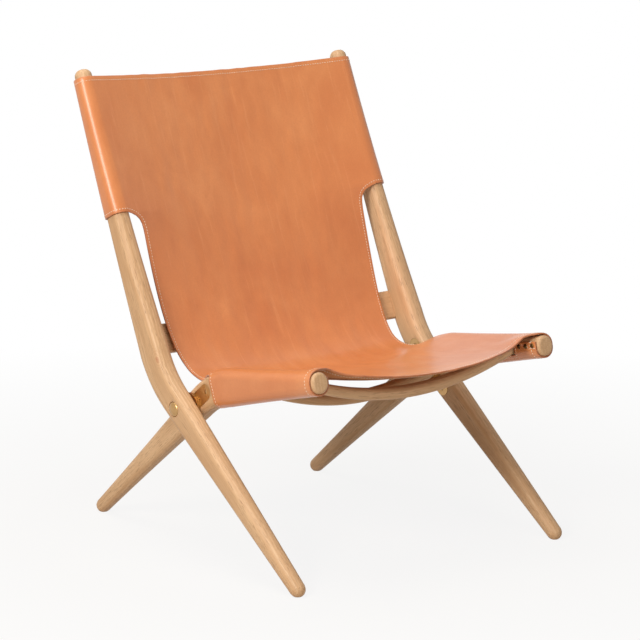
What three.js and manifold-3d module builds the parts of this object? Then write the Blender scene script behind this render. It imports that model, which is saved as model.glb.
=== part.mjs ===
// Leather sling lounge chair that folds like a pair of scissors.
// Millimetres, +Z up, the front faces -Y. Left is the side of -X.
import * as THREE from "three";
import { mergeVertices } from "three/addons/utils/BufferGeometryUtils.js";
import Module from "manifold-3d";

const wasm = await Module();
wasm.setup();

// Where the two frames cross and stand
const PIVOT_HEIGHT = 245.5;
const UPRIGHT_X = 273.5;
const SIDE_GAP = 5;
const FOLD_RANGE_DEG = 95;

// Members: one curved oak piece each, with a straight leg, an elbow and a long upper stretch
const MEMBER_THICKNESS = 32;
const MEMBER_CORNER_RADIUS = 12;
const PIVOT_DEPTH = 51;
const ELBOW_DEPTH = 57;
const ELBOW_RADIUS = 190;
const FOOT_RADIUS = 12.75;
const FOOT_FLAT_DEPTH = 1.8;

// Upright: front leg and back stile
const FRONT_LEG_DEG = 36.5;
const STILE_FOOT_DEG = 62.8;
const STILE_TOP_DEG = 67.2;
const STILE_LENGTH = 500;
const STILE_ELBOW_START = 24;
const STILE_TOP_DEPTH = 28;
const STILE_TOP_THICKNESS = 27.5;
const STILE_CROWN_HEIGHT = 10;
const STILE_CROWN_INSET = 9;
const FRONT_LEG_FULLNESS_SHARE = 0.56;
const STILE_FULLNESS_SHARE = 0.26;

// Seat side: rear leg and seat rail
const REAR_LEG_DEG = 38.6;
const RAIL_DEG = 11.8;
const RAIL_LENGTH = 242;
const RAIL_ELBOW_START = 14;
const RAIL_END_DEPTH = 34;
const RAIL_END_CORNER_RADIUS = 15;
const RAIL_CROWN_HEIGHT = 5;
const REAR_LEG_FULLNESS_SHARE = 0.35;
const RAIL_FULLNESS_SHARE = 0.31;

// Back rail, a bowed slat let into the stiles' rear inner corners
const BACK_RAIL_STATION = 139;
const BACK_RAIL_HEIGHT = 51;
const BACK_RAIL_THICKNESS = 12;
const BACK_RAIL_SETBACK = 18;
const BACK_RAIL_BOW = 12;
const BACK_RAIL_EDGE_RADIUS = 3;
const BACK_RAIL_REBATE = 16;
const RAIL_SCREW_SPACING = 28;
const RAIL_SCREW_LENGTH = 24;

// Bow rails, bent down under the seat and tenoned into the seat rails
const BOW_WIDTH = 27;
const BOW_HEIGHT = 19;
const BOW_CORNER_RADIUS = 8.5;
const FRONT_BOW_STUD_GAP = 10.5;
const FRONT_BOW_SAG = 42.5;
const REAR_BOW_STUD_GAP = 4.5;
const REAR_BOW_SAG = 49;
const TENON_RADIUS = 6.5;
const TENON_LENGTH = 12;

// Hinge plates, inlaid flush on the facing sides, with a raised hub at the pivot
const PLATE_SCREW_REACH = 49.5;
const PLATE_HALF_WIDTH = 13.5;
const PLATE_THICKNESS = 2.5;
const UPRIGHT_PLATE_LEAN_DEG = 3;
const HUB_RADIUS = 24;
const HUB_NECK_RADIUS = 13;
const HUB_CLEARANCE = 0.6;
const LUG_ORBIT = 17.5;
const LUG_RADIUS = 2.5;
const SLOT_DEPTH = 2.1;

// Slotted countersunk screws
const SCREW_HEAD_RADIUS = 4.6;
const SCREW_HEAD_DEPTH = 2.2;
const SCREW_SHANK_RADIUS = 2;
const PLATE_SCREW_LENGTH = 18;
const SCREW_SLOT_WIDTH = 1.2;
const SCREW_SLOT_DEPTH = 0.8;

// Pivot bolt, washer and cap nut
const BOLT_RADIUS = 5;
const BOLT_HEAD_RADIUS = 12.5;
const BOLT_HEAD_SINK = 3;
const BOLT_HEAD_RISE = 3.5;
const WASHER_RADIUS = 12;
const WASHER_THICKNESS = 1.5;
const NUT_RADIUS = 10.5;
const NUT_WALL_HEIGHT = 4.5;
const NUT_CROWN_HEIGHT = 4;
const NUT_GRIP = 5;

// Sling: one hide with a sleeve round each stile and seat rail
const LEATHER_THICKNESS = 3;
const LEATHER_EASE = 0.5;
const STILE_BARE_LENGTH = 15.7;
const BACK_SLEEVE_START = 353;
const BACK_SAG_START = 38;
const BACK_SAG_END = 25;
const BACK_EDGE_DIP = 1.5;
const BACK_FLAP_REACH = 6;
const RAIL_BARE_LENGTH = 4.7;
const SEAT_SLEEVE_START = 70;
const SEAT_SAG_START = 33;
const SEAT_SAG_MIDDLE = 39;
const SEAT_SAG_END = 33;
const SEAT_NOSE = 13;
const SEAT_FLAP_REACH = 9;
const NOTCH_MARGIN = 1.5;
const WAIST_UPRIGHT_GAP = 21;
const WAIST_SEAT_SIDE_GAP = 2;
const WAIST_MIDDLE_HANDLE_SHARES = [[-0.35, -0.75], [0.39, -0.04]];
const WAIST_EDGE_HANDLE_SHARES = [[-0.2, -0.72], [0.34, -0.18]];

// Studs that hold the sleeves' flaps to the members' inner sides
const STUD_HEAD_RADIUS = 4.2;
const STUD_HEAD_RISE = 2;
const STUD_SHANK_RADIUS = 1.1;
const STUD_SHANK_LENGTH = 12;
const STUD_PITCH = 16.6;
const STUD_EDGE_DISTANCE = 8.6;
const STUD_COUNT = 3;
const STUD_HEIGHT = 2.5;

// Fits and overruns
const CLEARANCE = 0.3;
const OVERRUN = 2;
const MERGE_DISTANCE = 1e-4;

// Counts of steps
const CORNER_STEPS = 3;
const LEG_STEPS = 4;
const ELBOW_STEPS = 5;
const STRETCH_STEPS = 5;
const BOW_STEPS = 10;
const SLAT_CORNER_STEPS = 1;
const WAIST_ROWS = 10;
const WAIST_COLUMNS = 12;
const BACK_ROWS = 4;
const SEAT_ELBOW_ROWS = 3;
const SEAT_ROWS = 4;
const ROUND_SIDES = 20;
const SHANK_SIDES = 8;
const STUD_SIDES = 8;
const AWL_SIDES = 4;
const ARC_STEPS = 6;
const TANGENT_ROUNDS = 4;
const CROWN_DEGS = [35, 65, 90];
const FOOT_DEGS = [80, 52, 26];
const SPAN_SHARES = [0, 0.25, 0.5, 0.75, 1];
const DOME_SHARES = [1, 0.7, 0];
const ROUNDEST_SHARE = 0.96;

// Faces and sizes that follow from the driving ones
const HALF_THICKNESS = MEMBER_THICKNESS / 2;
const UPRIGHT_INNER = UPRIGHT_X - HALF_THICKNESS;
const UPRIGHT_OUTER = UPRIGHT_X + HALF_THICKNESS;
const SEAT_SIDE_OUTER = UPRIGHT_INNER - SIDE_GAP;
const SEAT_SIDE_X = SEAT_SIDE_OUTER - HALF_THICKNESS;
const SEAT_SIDE_INNER = SEAT_SIDE_X - HALF_THICKNESS;
const FOOT_CENTRE_HEIGHT = FOOT_RADIUS - FOOT_FLAT_DEPTH;
const HUB_RISE = (SIDE_GAP - HUB_CLEARANCE) / 2;
const WRAP_GAP = LEATHER_EASE + LEATHER_THICKNESS / 2;
const WAIST_START_HALF_WIDTH = UPRIGHT_INNER - WAIST_UPRIGHT_GAP;
const WAIST_END_HALF_WIDTH = SEAT_SIDE_INNER - WAIST_SEAT_SIDE_GAP;
const FLAP_FACE = LEATHER_EASE + LEATHER_THICKNESS;

const { degToRad, clamp, lerp } = THREE.MathUtils;
const QUARTER = Math.PI / 2;
const SIDES = { left: -1, right: 1 };

// Materials

const oak = () => new THREE.MeshStandardMaterial({ color: 0xd8b686, roughness: 0.55 });
const leather = () => new THREE.MeshStandardMaterial({ color: 0xc87f52, roughness: 0.45 });
const brass = () => new THREE.MeshStandardMaterial({ color: 0xb08a4a, roughness: 0.3, metalness: 1 });
const darkBrass = () =>
  new THREE.MeshStandardMaterial({ color: 0x6b5330, roughness: 0.4, metalness: 1 });

// Solids

// A closed solid from a geometry, with its faces turned outwards.
function solid(geometry) {
  const bare = geometry.clone();
  bare.deleteAttribute("normal");
  bare.deleteAttribute("uv");
  const merged = mergeVertices(bare, MERGE_DISTANCE);
  const corners = Array.from(merged.index.array);
  const kept = [];
  for (let i = 0; i < corners.length; i += 3) {
    const [a, b, c] = corners.slice(i, i + 3);
    if (a !== b && b !== c && c !== a) kept.push(a, b, c);
  }
  const vertProperties = merged.attributes.position.array;
  const build = (faces) =>
    new wasm.Manifold(new wasm.Mesh({ numProp: 3, vertProperties, triVerts: Uint32Array.from(faces) }));
  const made = build(kept);
  return made.volume() > 0 ? made : build(kept.reverse());
}

// A closed body over rings of points. At its two ends, point i of a ring faces point i from the last.
function loft(rings) {
  const count = rings[0].length;
  const index = [];
  const face = (a, b, c, d) => index.push(a, b, c, a, c, d);
  for (let row = 0; row < rings.length - 1; row++) {
    for (let i = 0; i < count; i++) {
      const next = (i + 1) % count;
      const base = row * count;
      face(base + i, base + next, base + count + next, base + count + i);
    }
  }
  const last = (rings.length - 1) * count;
  for (let i = 0; i < count / 2 - 1; i++) {
    const across = count - 1 - i;
    face(i, across, across - 1, i + 1);
    face(last + i, last + i + 1, last + across - 1, last + across);
  }
  const positions = rings.flat().flatMap((point) => point.toArray());
  const geometry = new THREE.BufferGeometry();
  geometry.setAttribute("position", new THREE.Float32BufferAttribute(positions, 3));
  geometry.setIndex(index);
  return solid(geometry);
}

// A body turned about a line. The profile's points are a radius and a reach along the line.
function turned(profile, sides, origin, direction) {
  const points = profile.map(([radius, reach]) => new THREE.Vector2(radius, reach));
  const geometry = new THREE.LatheGeometry(points, sides);
  const turn = new THREE.Quaternion().setFromUnitVectors(new THREE.Vector3(0, 1, 0), direction);
  geometry.applyQuaternion(turn);
  geometry.translate(origin.x, origin.y, origin.z);
  return solid(geometry);
}

// A straight hole's cutter, whose flats keep clear of the radius.
function bore(radius, from, to, sides, origin, direction) {
  const corner = radius / Math.cos(Math.PI / sides);
  return turned([[0, from], [corner, from], [corner, to], [0, to]], sides, origin, direction);
}

// An outline about the pivot in the plane of the chair's side, extruded between two values of X.
function slab(shape, fromX, toX) {
  const settings = { depth: Math.abs(toX - fromX), bevelEnabled: false, curveSegments: ARC_STEPS };
  const geometry = new THREE.ExtrudeGeometry(shape, settings);
  const axes = [[0, 1, 0], [0, 0, 1], [1, 0, 0]].map((axis) => new THREE.Vector3(...axis));
  geometry.applyMatrix4(new THREE.Matrix4().makeBasis(...axes));
  geometry.translate(Math.min(fromX, toX), 0, PIVOT_HEIGHT);
  return solid(geometry);
}

// A rounded rectangle of points, each handed to a function that places it.
function roundedRing(halfWidth, halfHeight, cornerRadius, put, cornerSteps = CORNER_STEPS) {
  const radius = Math.min(cornerRadius, halfWidth * ROUNDEST_SHARE, halfHeight * ROUNDEST_SHARE);
  const ring = [];
  for (const [corner, [right, up]] of [[1, 1], [-1, 1], [-1, -1], [1, -1]].entries()) {
    for (let step = 0; step <= cornerSteps; step++) {
      const angle = (corner + step / cornerSteps) * QUARTER;
      const across = right * (halfWidth - radius) + radius * Math.cos(angle);
      const height = up * (halfHeight - radius) + radius * Math.sin(angle);
      ring.push(put(across, height));
    }
  }
  return ring;
}

// A named mesh of a finished solid.
function mesh(name, body, material) {
  const { vertProperties, triVerts } = body.getMesh();
  const geometry = new THREE.BufferGeometry();
  geometry.setAttribute("position", new THREE.BufferAttribute(vertProperties, 3));
  geometry.setIndex(new THREE.BufferAttribute(triVerts, 1));
  geometry.computeVertexNormals();
  const made = new THREE.Mesh(geometry, material);
  made.name = name;
  return made;
}

// Lines of the members

// The lengths and turns of a member's line. It climbs towards +Y or -Y from its foot.
function memberLine({ towards, x, legDeg, elbowStart, elbowDeg, endDeg, length, ...rest }) {
  const legSlope = degToRad(legDeg);
  const elbowTurn = degToRad(elbowDeg - legDeg);
  const elbowLength = ELBOW_RADIUS * Math.abs(elbowTurn);
  return {
    ...rest,
    towards,
    x,
    legSlope,
    legLength: (PIVOT_HEIGHT - FOOT_CENTRE_HEIGHT) / Math.sin(legSlope),
    elbowStart,
    elbowTurn,
    elbowLength,
    elbowEnd: elbowStart + elbowLength,
    length,
    lengthTurn: degToRad(endDeg - elbowDeg),
    end: elbowStart + elbowLength + length,
  };
}

const UPRIGHT = memberLine({
  towards: 1,
  x: UPRIGHT_X,
  legDeg: FRONT_LEG_DEG,
  elbowStart: STILE_ELBOW_START,
  elbowDeg: STILE_FOOT_DEG,
  endDeg: STILE_TOP_DEG,
  length: STILE_LENGTH,
  endDepth: STILE_TOP_DEPTH,
  endCorner: MEMBER_CORNER_RADIUS,
  endThickness: STILE_TOP_THICKNESS,
  legShare: FRONT_LEG_FULLNESS_SHARE,
  lengthShare: STILE_FULLNESS_SHARE,
  crownHeight: STILE_CROWN_HEIGHT,
  crownInset: STILE_CROWN_INSET,
});

const SEAT_SIDE = memberLine({
  towards: -1,
  x: SEAT_SIDE_X,
  legDeg: REAR_LEG_DEG,
  elbowStart: RAIL_ELBOW_START,
  elbowDeg: RAIL_DEG,
  endDeg: RAIL_DEG,
  length: RAIL_LENGTH,
  endDepth: RAIL_END_DEPTH,
  endCorner: RAIL_END_CORNER_RADIUS,
  endThickness: MEMBER_THICKNESS,
  legShare: REAR_LEG_FULLNESS_SHARE,
  lengthShare: RAIL_FULLNESS_SHARE,
  crownHeight: RAIL_CROWN_HEIGHT,
  crownInset: RAIL_CROWN_HEIGHT,
});

// Where the sleeves and the bow rails sit along their members
const BACK_SLEEVE_END = UPRIGHT.end - STILE_BARE_LENGTH;
const SEAT_SLEEVE_END = SEAT_SIDE.end - RAIL_BARE_LENGTH;
const STUD_ROW_LENGTH = STUD_EDGE_DISTANCE + (STUD_COUNT - 1) * STUD_PITCH + STUD_HEAD_RADIUS;
const BOW_REACH = STUD_ROW_LENGTH + BOW_WIDTH / 2;
const FRONT_BOW_STATION = SEAT_SLEEVE_END - BOW_REACH - FRONT_BOW_STUD_GAP;
const REAR_BOW_STATION = SEAT_SLEEVE_START + BOW_REACH + REAR_BOW_STUD_GAP;

// The end of a stretch whose slope turns steadily.
function onward(from, towards, length, turn) {
  const slope = from.slope + turn;
  const run = turn ? (Math.sin(slope) - Math.sin(from.slope)) / turn : Math.cos(slope);
  const rise = turn ? (Math.cos(from.slope) - Math.cos(slope)) / turn : Math.sin(slope);
  return { y: from.y + towards * length * run, z: from.z + length * rise, slope };
}

// The point and slope of a member's line at a station.
// A station is a distance from the pivot along the line, negative in the leg.
function lineAt(member, station) {
  const inLeg = Math.min(station, member.elbowStart);
  const inElbow = clamp(station - member.elbowStart, 0, member.elbowLength);
  const inLength = Math.max(station - member.elbowEnd, 0);
  const pivot = { y: 0, z: PIVOT_HEIGHT, slope: member.legSlope };
  const leg = onward(pivot, member.towards, inLeg, 0);
  const elbow = onward(leg, member.towards, inElbow, (member.elbowTurn * inElbow) / member.elbowLength);
  return onward(elbow, member.towards, inLength, (member.lengthTurn * inLength) / member.length);
}

// A taper that falls from 1 to 0 over a share, straight where its fullness is a half.
function taper(share, fullnessShare) {
  const left = 1 - share;
  return left * left + 2 * fullnessShare * share * left;
}

// Half of a member's depth and thickness at a station, and the radius of its corners.
function halfSizes(member, station) {
  const inLeg = clamp(-station / member.legLength, 0, 1);
  const inLength = clamp((station - member.elbowEnd) / member.length, 0, 1);
  const nearPivot = clamp(station / member.elbowEnd, 0, 1);
  const footDepth = 2 * FOOT_RADIUS;
  const legDepth = lerp(footDepth, PIVOT_DEPTH, taper(inLeg, member.legShare));
  const middleDepth = lerp(PIVOT_DEPTH, ELBOW_DEPTH, nearPivot);
  const endDepth = lerp(member.endDepth, middleDepth, taper(inLength, member.lengthShare));
  const thickness = lerp(lerp(MEMBER_THICKNESS, footDepth, inLeg), member.endThickness, inLength);
  const corner = lerp(MEMBER_CORNER_RADIUS, member.endCorner, inLength);
  return { depth: (station < 0 ? legDepth : endDepth) / 2, thickness: thickness / 2, corner };
}

// The world point at an X, raised along a section's normal and moved on along the line.
function place(member, at, x, up, on) {
  const [sin, cos] = [Math.sin(at.slope), Math.cos(at.slope)];
  const y = at.y + member.towards * (on * cos - up * sin);
  return new THREE.Vector3(x, y, at.z + on * sin + up * cos);
}

// A block in the frame of a section, between limits sideways, up and on.
function block(member, at, [fromX, toX], [low, high], [back, front]) {
  const outline = [[fromX, low], [toX, low], [toX, high], [fromX, high]];
  const ring = (on) => outline.map(([x, up]) => place(member, at, x, up, on));
  return loft([ring(back), ring(front)]);
}

// Members

// One ring round a member, drawn in by an inset where its end is rounded.
function memberRing(member, side, station, inset) {
  const at = lineAt(member, station);
  const half = halfSizes(member, station);
  const put = (across, up) => place(member, at, side * (member.x + across), up, 0);
  return roundedRing(half.thickness - inset, half.depth - inset, half.corner, put);
}

// A member's plain body from its round foot to its crowned end.
function memberBody(member, side) {
  const rings = [];
  const add = (station, inset) => rings.push(memberRing(member, side, station, inset));
  for (const deg of FOOT_DEGS) {
    const angle = degToRad(deg);
    add(-member.legLength - FOOT_RADIUS * Math.sin(angle), FOOT_RADIUS * (1 - Math.cos(angle)));
  }
  const crownStart = member.end - member.crownHeight;
  const stations = [
    ...steps(-member.legLength, 0, LEG_STEPS),
    ...steps(member.elbowStart, member.elbowEnd, ELBOW_STEPS),
    ...steps(member.elbowEnd, crownStart, STRETCH_STEPS).slice(1),
  ];
  stations.forEach((station) => add(station, 0));
  for (const deg of CROWN_DEGS) {
    const angle = degToRad(deg);
    add(crownStart + member.crownHeight * Math.sin(angle), member.crownInset * (1 - Math.cos(angle)));
  }
  return loft(rings).subtract(floorCutter(member, side));
}

// The block below the floor that flattens a foot.
function floorCutter(member, side) {
  const size = 4 * FOOT_RADIUS;
  const foot = lineAt(member, -member.legLength);
  const box = new THREE.BoxGeometry(size, size, size);
  box.translate(side * member.x, foot.y, -size / 2);
  return solid(box);
}

// The pivot's origin and outward direction on one side of the chair.
const pivotOrigin = new THREE.Vector3(0, 0, PIVOT_HEIGHT);
const outward = (side) => new THREE.Vector3(side, 0, 0);

function pivotBore(side) {
  const [from, to] = [SEAT_SIDE_INNER - OVERRUN, UPRIGHT_OUTER + OVERRUN];
  return bore(BOLT_RADIUS + CLEARANCE, from, to, ROUND_SIDES, pivotOrigin, outward(side));
}

// The seat for the bolt's head in the upright's outer face.
function headSeat(side) {
  const [from, to] = [UPRIGHT_OUTER - BOLT_HEAD_SINK, UPRIGHT_OUTER + OVERRUN];
  return bore(BOLT_HEAD_RADIUS + CLEARANCE, from, to, ROUND_SIDES, pivotOrigin, outward(side));
}

function upright(side) {
  return memberBody(UPRIGHT, side)
    .subtract(pivotBore(side))
    .subtract(headSeat(side))
    .subtract(plateRecess(UPRIGHT_PLATE, side))
    .subtract(rebate(side))
    .subtract(joined(plateScrewSpots(UPRIGHT_PLATE, side).map(plateScrewCutter)))
    .subtract(joined(railScrewSpots(side).map(railScrewCutter)))
    .subtract(joined(studSpots(BACK_SLING, side).map(studCutter)));
}

function seatSide(side) {
  return memberBody(SEAT_SIDE, side)
    .subtract(pivotBore(side))
    .subtract(plateRecess(SEAT_PLATE, side))
    .subtract(joined([FRONT_BOW_STATION, REAR_BOW_STATION].map((station) => mortise(station, side))))
    .subtract(joined(plateScrewSpots(SEAT_PLATE, side).map(plateScrewCutter)))
    .subtract(joined(studSpots(SEAT_SLING, side).map(studCutter)));
}

// Several solids as one.
function joined(parts) {
  return parts.reduce((whole, part) => whole.add(part));
}

// Evenly spaced values, both ends among them.
function steps(from, to, count) {
  return Array.from({ length: count + 1 }, (_, i) => lerp(from, to, i / count));
}

// Back rail

// The slat's front face is set back from the stiles' line. Its ends are straight, its middle is bowed.
function backRail() {
  const at = lineAt(UPRIGHT, BACK_RAIL_STATION);
  const end = UPRIGHT_INNER + BACK_RAIL_REBATE - CLEARANCE;
  const centre = -BACK_RAIL_SETBACK - BACK_RAIL_THICKNESS / 2;
  const xs = [-end, ...steps(-UPRIGHT_INNER, UPRIGHT_INNER, BOW_STEPS), end];
  const ring = (x) => {
    const share = Math.min(Math.abs(x) / UPRIGHT_INNER, 1);
    const up = centre - BACK_RAIL_BOW * (1 - share * share);
    const put = (on, height) => place(UPRIGHT, at, x, up + height, on);
    const [halfHeight, halfThickness] = [BACK_RAIL_HEIGHT / 2, BACK_RAIL_THICKNESS / 2];
    return roundedRing(halfHeight, halfThickness, BACK_RAIL_EDGE_RADIUS, put, SLAT_CORNER_STEPS);
  };
  const cutters = Object.values(SIDES).flatMap((side) => railScrewSpots(side).map(railScrewCutter));
  return loft(xs.map(ring)).subtract(joined(cutters));
}

// The corner cut from a stile for the slat's end.
function rebate(side) {
  const at = lineAt(UPRIGHT, BACK_RAIL_STATION);
  const reach = BACK_RAIL_HEIGHT / 2 + CLEARANCE;
  const across = [side * (UPRIGHT_INNER - OVERRUN), side * (UPRIGHT_INNER + BACK_RAIL_REBATE)];
  const floor = CLEARANCE - BACK_RAIL_SETBACK;
  return block(UPRIGHT, at, across, [-ELBOW_DEPTH, floor], [-reach, reach]);
}

// Bow rails

function bowRail(station, sag) {
  const at = lineAt(SEAT_SIDE, station);
  const end = SEAT_SIDE_INNER - CLEARANCE;
  const rings = steps(-1, 1, BOW_STEPS).map((share) => {
    const z = at.z - sag * (1 - share * share);
    const put = (across, up) => new THREE.Vector3(end * share, at.y + across, z + up);
    return roundedRing(BOW_WIDTH / 2, BOW_HEIGHT / 2, BOW_CORNER_RADIUS, put);
  });
  const middle = new THREE.Vector3(0, at.y, at.z);
  const [root, tip] = [end - OVERRUN, SEAT_SIDE_INNER + TENON_LENGTH];
  const profile = [[0, end - TENON_LENGTH], [TENON_RADIUS, root], [TENON_RADIUS, tip], [0, tip]];
  const tenons = Object.values(SIDES).map((side) =>
    turned(profile, SHANK_SIDES, middle, outward(side)));
  return joined([loft(rings), ...tenons]);
}

// The hole for a bow rail's tenon.
function mortise(station, side) {
  const at = lineAt(SEAT_SIDE, station);
  const middle = new THREE.Vector3(0, at.y, at.z);
  const [from, to] = [SEAT_SIDE_INNER - OVERRUN, SEAT_SIDE_INNER + TENON_LENGTH + CLEARANCE];
  return bore(TENON_RADIUS + CLEARANCE, from, to, SHANK_SIDES, middle, outward(side));
}

// Hinge plates

// Each plate lies on one face of its member. The upright's leans from the leg's line to the elbow.
const UPRIGHT_PLATE = {
  face: UPRIGHT_INNER,
  rises: -1,
  angle: UPRIGHT.legSlope + degToRad(UPRIGHT_PLATE_LEAN_DEG),
};
const SEAT_PLATE = {
  face: SEAT_SIDE_OUTER,
  rises: 1,
  angle: Math.PI - SEAT_SIDE.legSlope,
};

// The distance from the chair's middle at a height over a plate's face.
function plateReach(plate, height) {
  return plate.face + plate.rises * height;
}

// An oblong about the pivot with round ends.
function oblong(reach, radius, angle) {
  const [y, z] = [reach * Math.cos(angle), reach * Math.sin(angle)];
  const shape = new THREE.Shape();
  shape.absarc(y, z, radius, angle - QUARTER, angle + QUARTER, false);
  shape.absarc(-y, -z, radius, angle + QUARTER, angle + 3 * QUARTER, false);
  shape.closePath();
  return shape;
}

function plateRecess(plate, side) {
  const shape = oblong(PLATE_SCREW_REACH, PLATE_HALF_WIDTH + CLEARANCE, plate.angle);
  const floor = plateReach(plate, -PLATE_THICKNESS - CLEARANCE);
  return slab(shape, side * floor, side * plateReach(plate, OVERRUN));
}

// A plate's bar with its hub, which stands clear of the wood on a neck.
function plateBody(plate, side) {
  const bar = slab(oblong(PLATE_SCREW_REACH, PLATE_HALF_WIDTH, plate.angle),
    side * plateReach(plate, -PLATE_THICKNESS), side * plate.face);
  const [face, rim] = [plateReach(plate, HUB_RISE), plateReach(plate, CLEARANCE)];
  const root = plateReach(plate, -PLATE_THICKNESS / 2);
  const profile = [[0, face], [HUB_RADIUS, face], [HUB_RADIUS, rim], [HUB_NECK_RADIUS, rim],
    [HUB_NECK_RADIUS, root], [0, root]];
  return bar
    .add(turned(profile, ROUND_SIDES, pivotOrigin, outward(side)))
    .subtract(pivotBore(side))
    .subtract(joined(plateScrewSpots(plate, side).map(plateScrewCutter)));
}

// The upright's plate has a lug that runs in the seat plate's slot.
function uprightPlate(side) {
  const { angle } = UPRIGHT_PLATE;
  const [y, z] = [LUG_ORBIT * Math.cos(angle), LUG_ORBIT * Math.sin(angle)];
  const origin = new THREE.Vector3(0, y, PIVOT_HEIGHT + z);
  const tip = plateReach(UPRIGHT_PLATE, HUB_RISE + HUB_CLEARANCE + SLOT_DEPTH - CLEARANCE);
  const root = plateReach(UPRIGHT_PLATE, HUB_RISE / 2);
  const profile = [[0, tip], [LUG_RADIUS, tip], [LUG_RADIUS, root], [0, root]];
  return plateBody(UPRIGHT_PLATE, side).add(turned(profile, SHANK_SIDES, origin, outward(side)));
}

// The slot spans the fold, and its end stops the lug where the chair is open.
function slotShape() {
  const from = UPRIGHT_PLATE.angle;
  const to = from + degToRad(FOLD_RANGE_DEG);
  const half = LUG_RADIUS + CLEARANCE;
  const shape = new THREE.Shape();
  shape.absarc(0, 0, LUG_ORBIT + half, from, to, false);
  shape.absarc(LUG_ORBIT * Math.cos(to), LUG_ORBIT * Math.sin(to), half, to, to + 2 * QUARTER, false);
  shape.absarc(0, 0, LUG_ORBIT - half, to, from, true);
  const start = [LUG_ORBIT * Math.cos(from), LUG_ORBIT * Math.sin(from)];
  shape.absarc(...start, half, from + 2 * QUARTER, from + 4 * QUARTER, false);
  return shape;
}

function seatPlate(side) {
  const floor = side * plateReach(SEAT_PLATE, HUB_RISE - SLOT_DEPTH);
  const slot = slab(slotShape(), floor, side * plateReach(SEAT_PLATE, HUB_RISE + OVERRUN));
  return plateBody(SEAT_PLATE, side).subtract(slot);
}

// Screws

// A countersunk screw's profile under its top face. Its reach falls into the work.
function screwProfile(length, clearance) {
  const [head, shank] = [SCREW_HEAD_RADIUS + clearance, SCREW_SHANK_RADIUS + clearance];
  const tip = -length - clearance;
  return [[head, 0], [shank, -SCREW_HEAD_DEPTH], [shank, tip], [0, tip]];
}

function screw({ origin, direction }, length) {
  const body = turned([[0, 0], ...screwProfile(length, 0)], SHANK_SIDES, origin, direction);
  const slot = new THREE.BoxGeometry(SCREW_SLOT_WIDTH, 2 * SCREW_SLOT_DEPTH, 3 * SCREW_HEAD_RADIUS);
  const turn = new THREE.Quaternion().setFromUnitVectors(new THREE.Vector3(0, 1, 0), direction);
  slot.applyQuaternion(turn);
  slot.translate(origin.x, origin.y, origin.z);
  return body.subtract(solid(slot));
}

// The hole for a screw, with its countersink open to the surface.
function screwCutter({ origin, direction }, length) {
  const rim = SCREW_HEAD_RADIUS + CLEARANCE;
  const profile = [[0, OVERRUN], [rim, OVERRUN], ...screwProfile(length, CLEARANCE)];
  return turned(profile, SHANK_SIDES, origin, direction);
}

const plateScrewCutter = (spot) => screwCutter(spot, PLATE_SCREW_LENGTH);
const railScrewCutter = (spot) => screwCutter(spot, RAIL_SCREW_LENGTH);

// Where a plate's two screws sit, and the direction that their heads face.
function plateScrewSpots(plate, side) {
  return [-1, 1].map((end) => {
    const y = end * PLATE_SCREW_REACH * Math.cos(plate.angle);
    const z = PIVOT_HEIGHT + end * PLATE_SCREW_REACH * Math.sin(plate.angle);
    const origin = new THREE.Vector3(side * plate.face, y, z);
    return { origin, direction: outward(side * plate.rises) };
  });
}

// Where the two screws at one end of the back rail sit, in its rear face.
function railScrewSpots(side) {
  const at = lineAt(UPRIGHT, BACK_RAIL_STATION);
  const x = side * (UPRIGHT_INNER + BACK_RAIL_REBATE / 2);
  const rear = -BACK_RAIL_SETBACK - BACK_RAIL_THICKNESS;
  return [-1, 1].map((end) => {
    const on = (end * RAIL_SCREW_SPACING) / 2;
    const origin = place(UPRIGHT, at, x, rear, on);
    const direction = place(UPRIGHT, at, x, rear - OVERRUN, on).sub(origin).normalize();
    return { origin, direction };
  });
}

// Pivot bolt, washer and nut

function dome(radius, base, rise) {
  return DOME_SHARES.map((share) => [radius * share, base + rise * Math.sqrt(1 - share * share)]);
}

function bolt(side) {
  const seat = UPRIGHT_OUTER - BOLT_HEAD_SINK + CLEARANCE;
  const tip = SEAT_SIDE_INNER - CLEARANCE - WASHER_THICKNESS - CLEARANCE - NUT_GRIP;
  const profile = [[0, tip], [BOLT_RADIUS, tip], [BOLT_RADIUS, seat], [BOLT_HEAD_RADIUS, seat],
    ...dome(BOLT_HEAD_RADIUS, UPRIGHT_OUTER, BOLT_HEAD_RISE)];
  return turned(profile, ROUND_SIDES, pivotOrigin, outward(side));
}

function washer(side) {
  const face = SEAT_SIDE_INNER - CLEARANCE;
  const back = face - WASHER_THICKNESS;
  const profile = [[0, back], [WASHER_RADIUS, back], [WASHER_RADIUS, face], [0, face]];
  return turned(profile, ROUND_SIDES, pivotOrigin, outward(side)).subtract(pivotBoreThrough(side));
}

// A longer pivot bore for the washer and the nut's socket.
function pivotBoreThrough(side) {
  const deepest = SEAT_SIDE_INNER - CLEARANCE - WASHER_THICKNESS - CLEARANCE - NUT_GRIP - CLEARANCE;
  return bore(BOLT_RADIUS + CLEARANCE, deepest, UPRIGHT_OUTER, ROUND_SIDES, pivotOrigin, outward(side));
}

function nut(side) {
  const face = SEAT_SIDE_INNER - CLEARANCE - WASHER_THICKNESS - CLEARANCE;
  const crown = dome(NUT_RADIUS, NUT_WALL_HEIGHT, NUT_CROWN_HEIGHT);
  const profile = [[0, face], [NUT_RADIUS, face], ...crown.map(([radius, up]) => [radius, face - up])];
  return turned(profile, ROUND_SIDES, pivotOrigin, outward(side)).subtract(pivotBoreThrough(side));
}

// Sling

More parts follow.
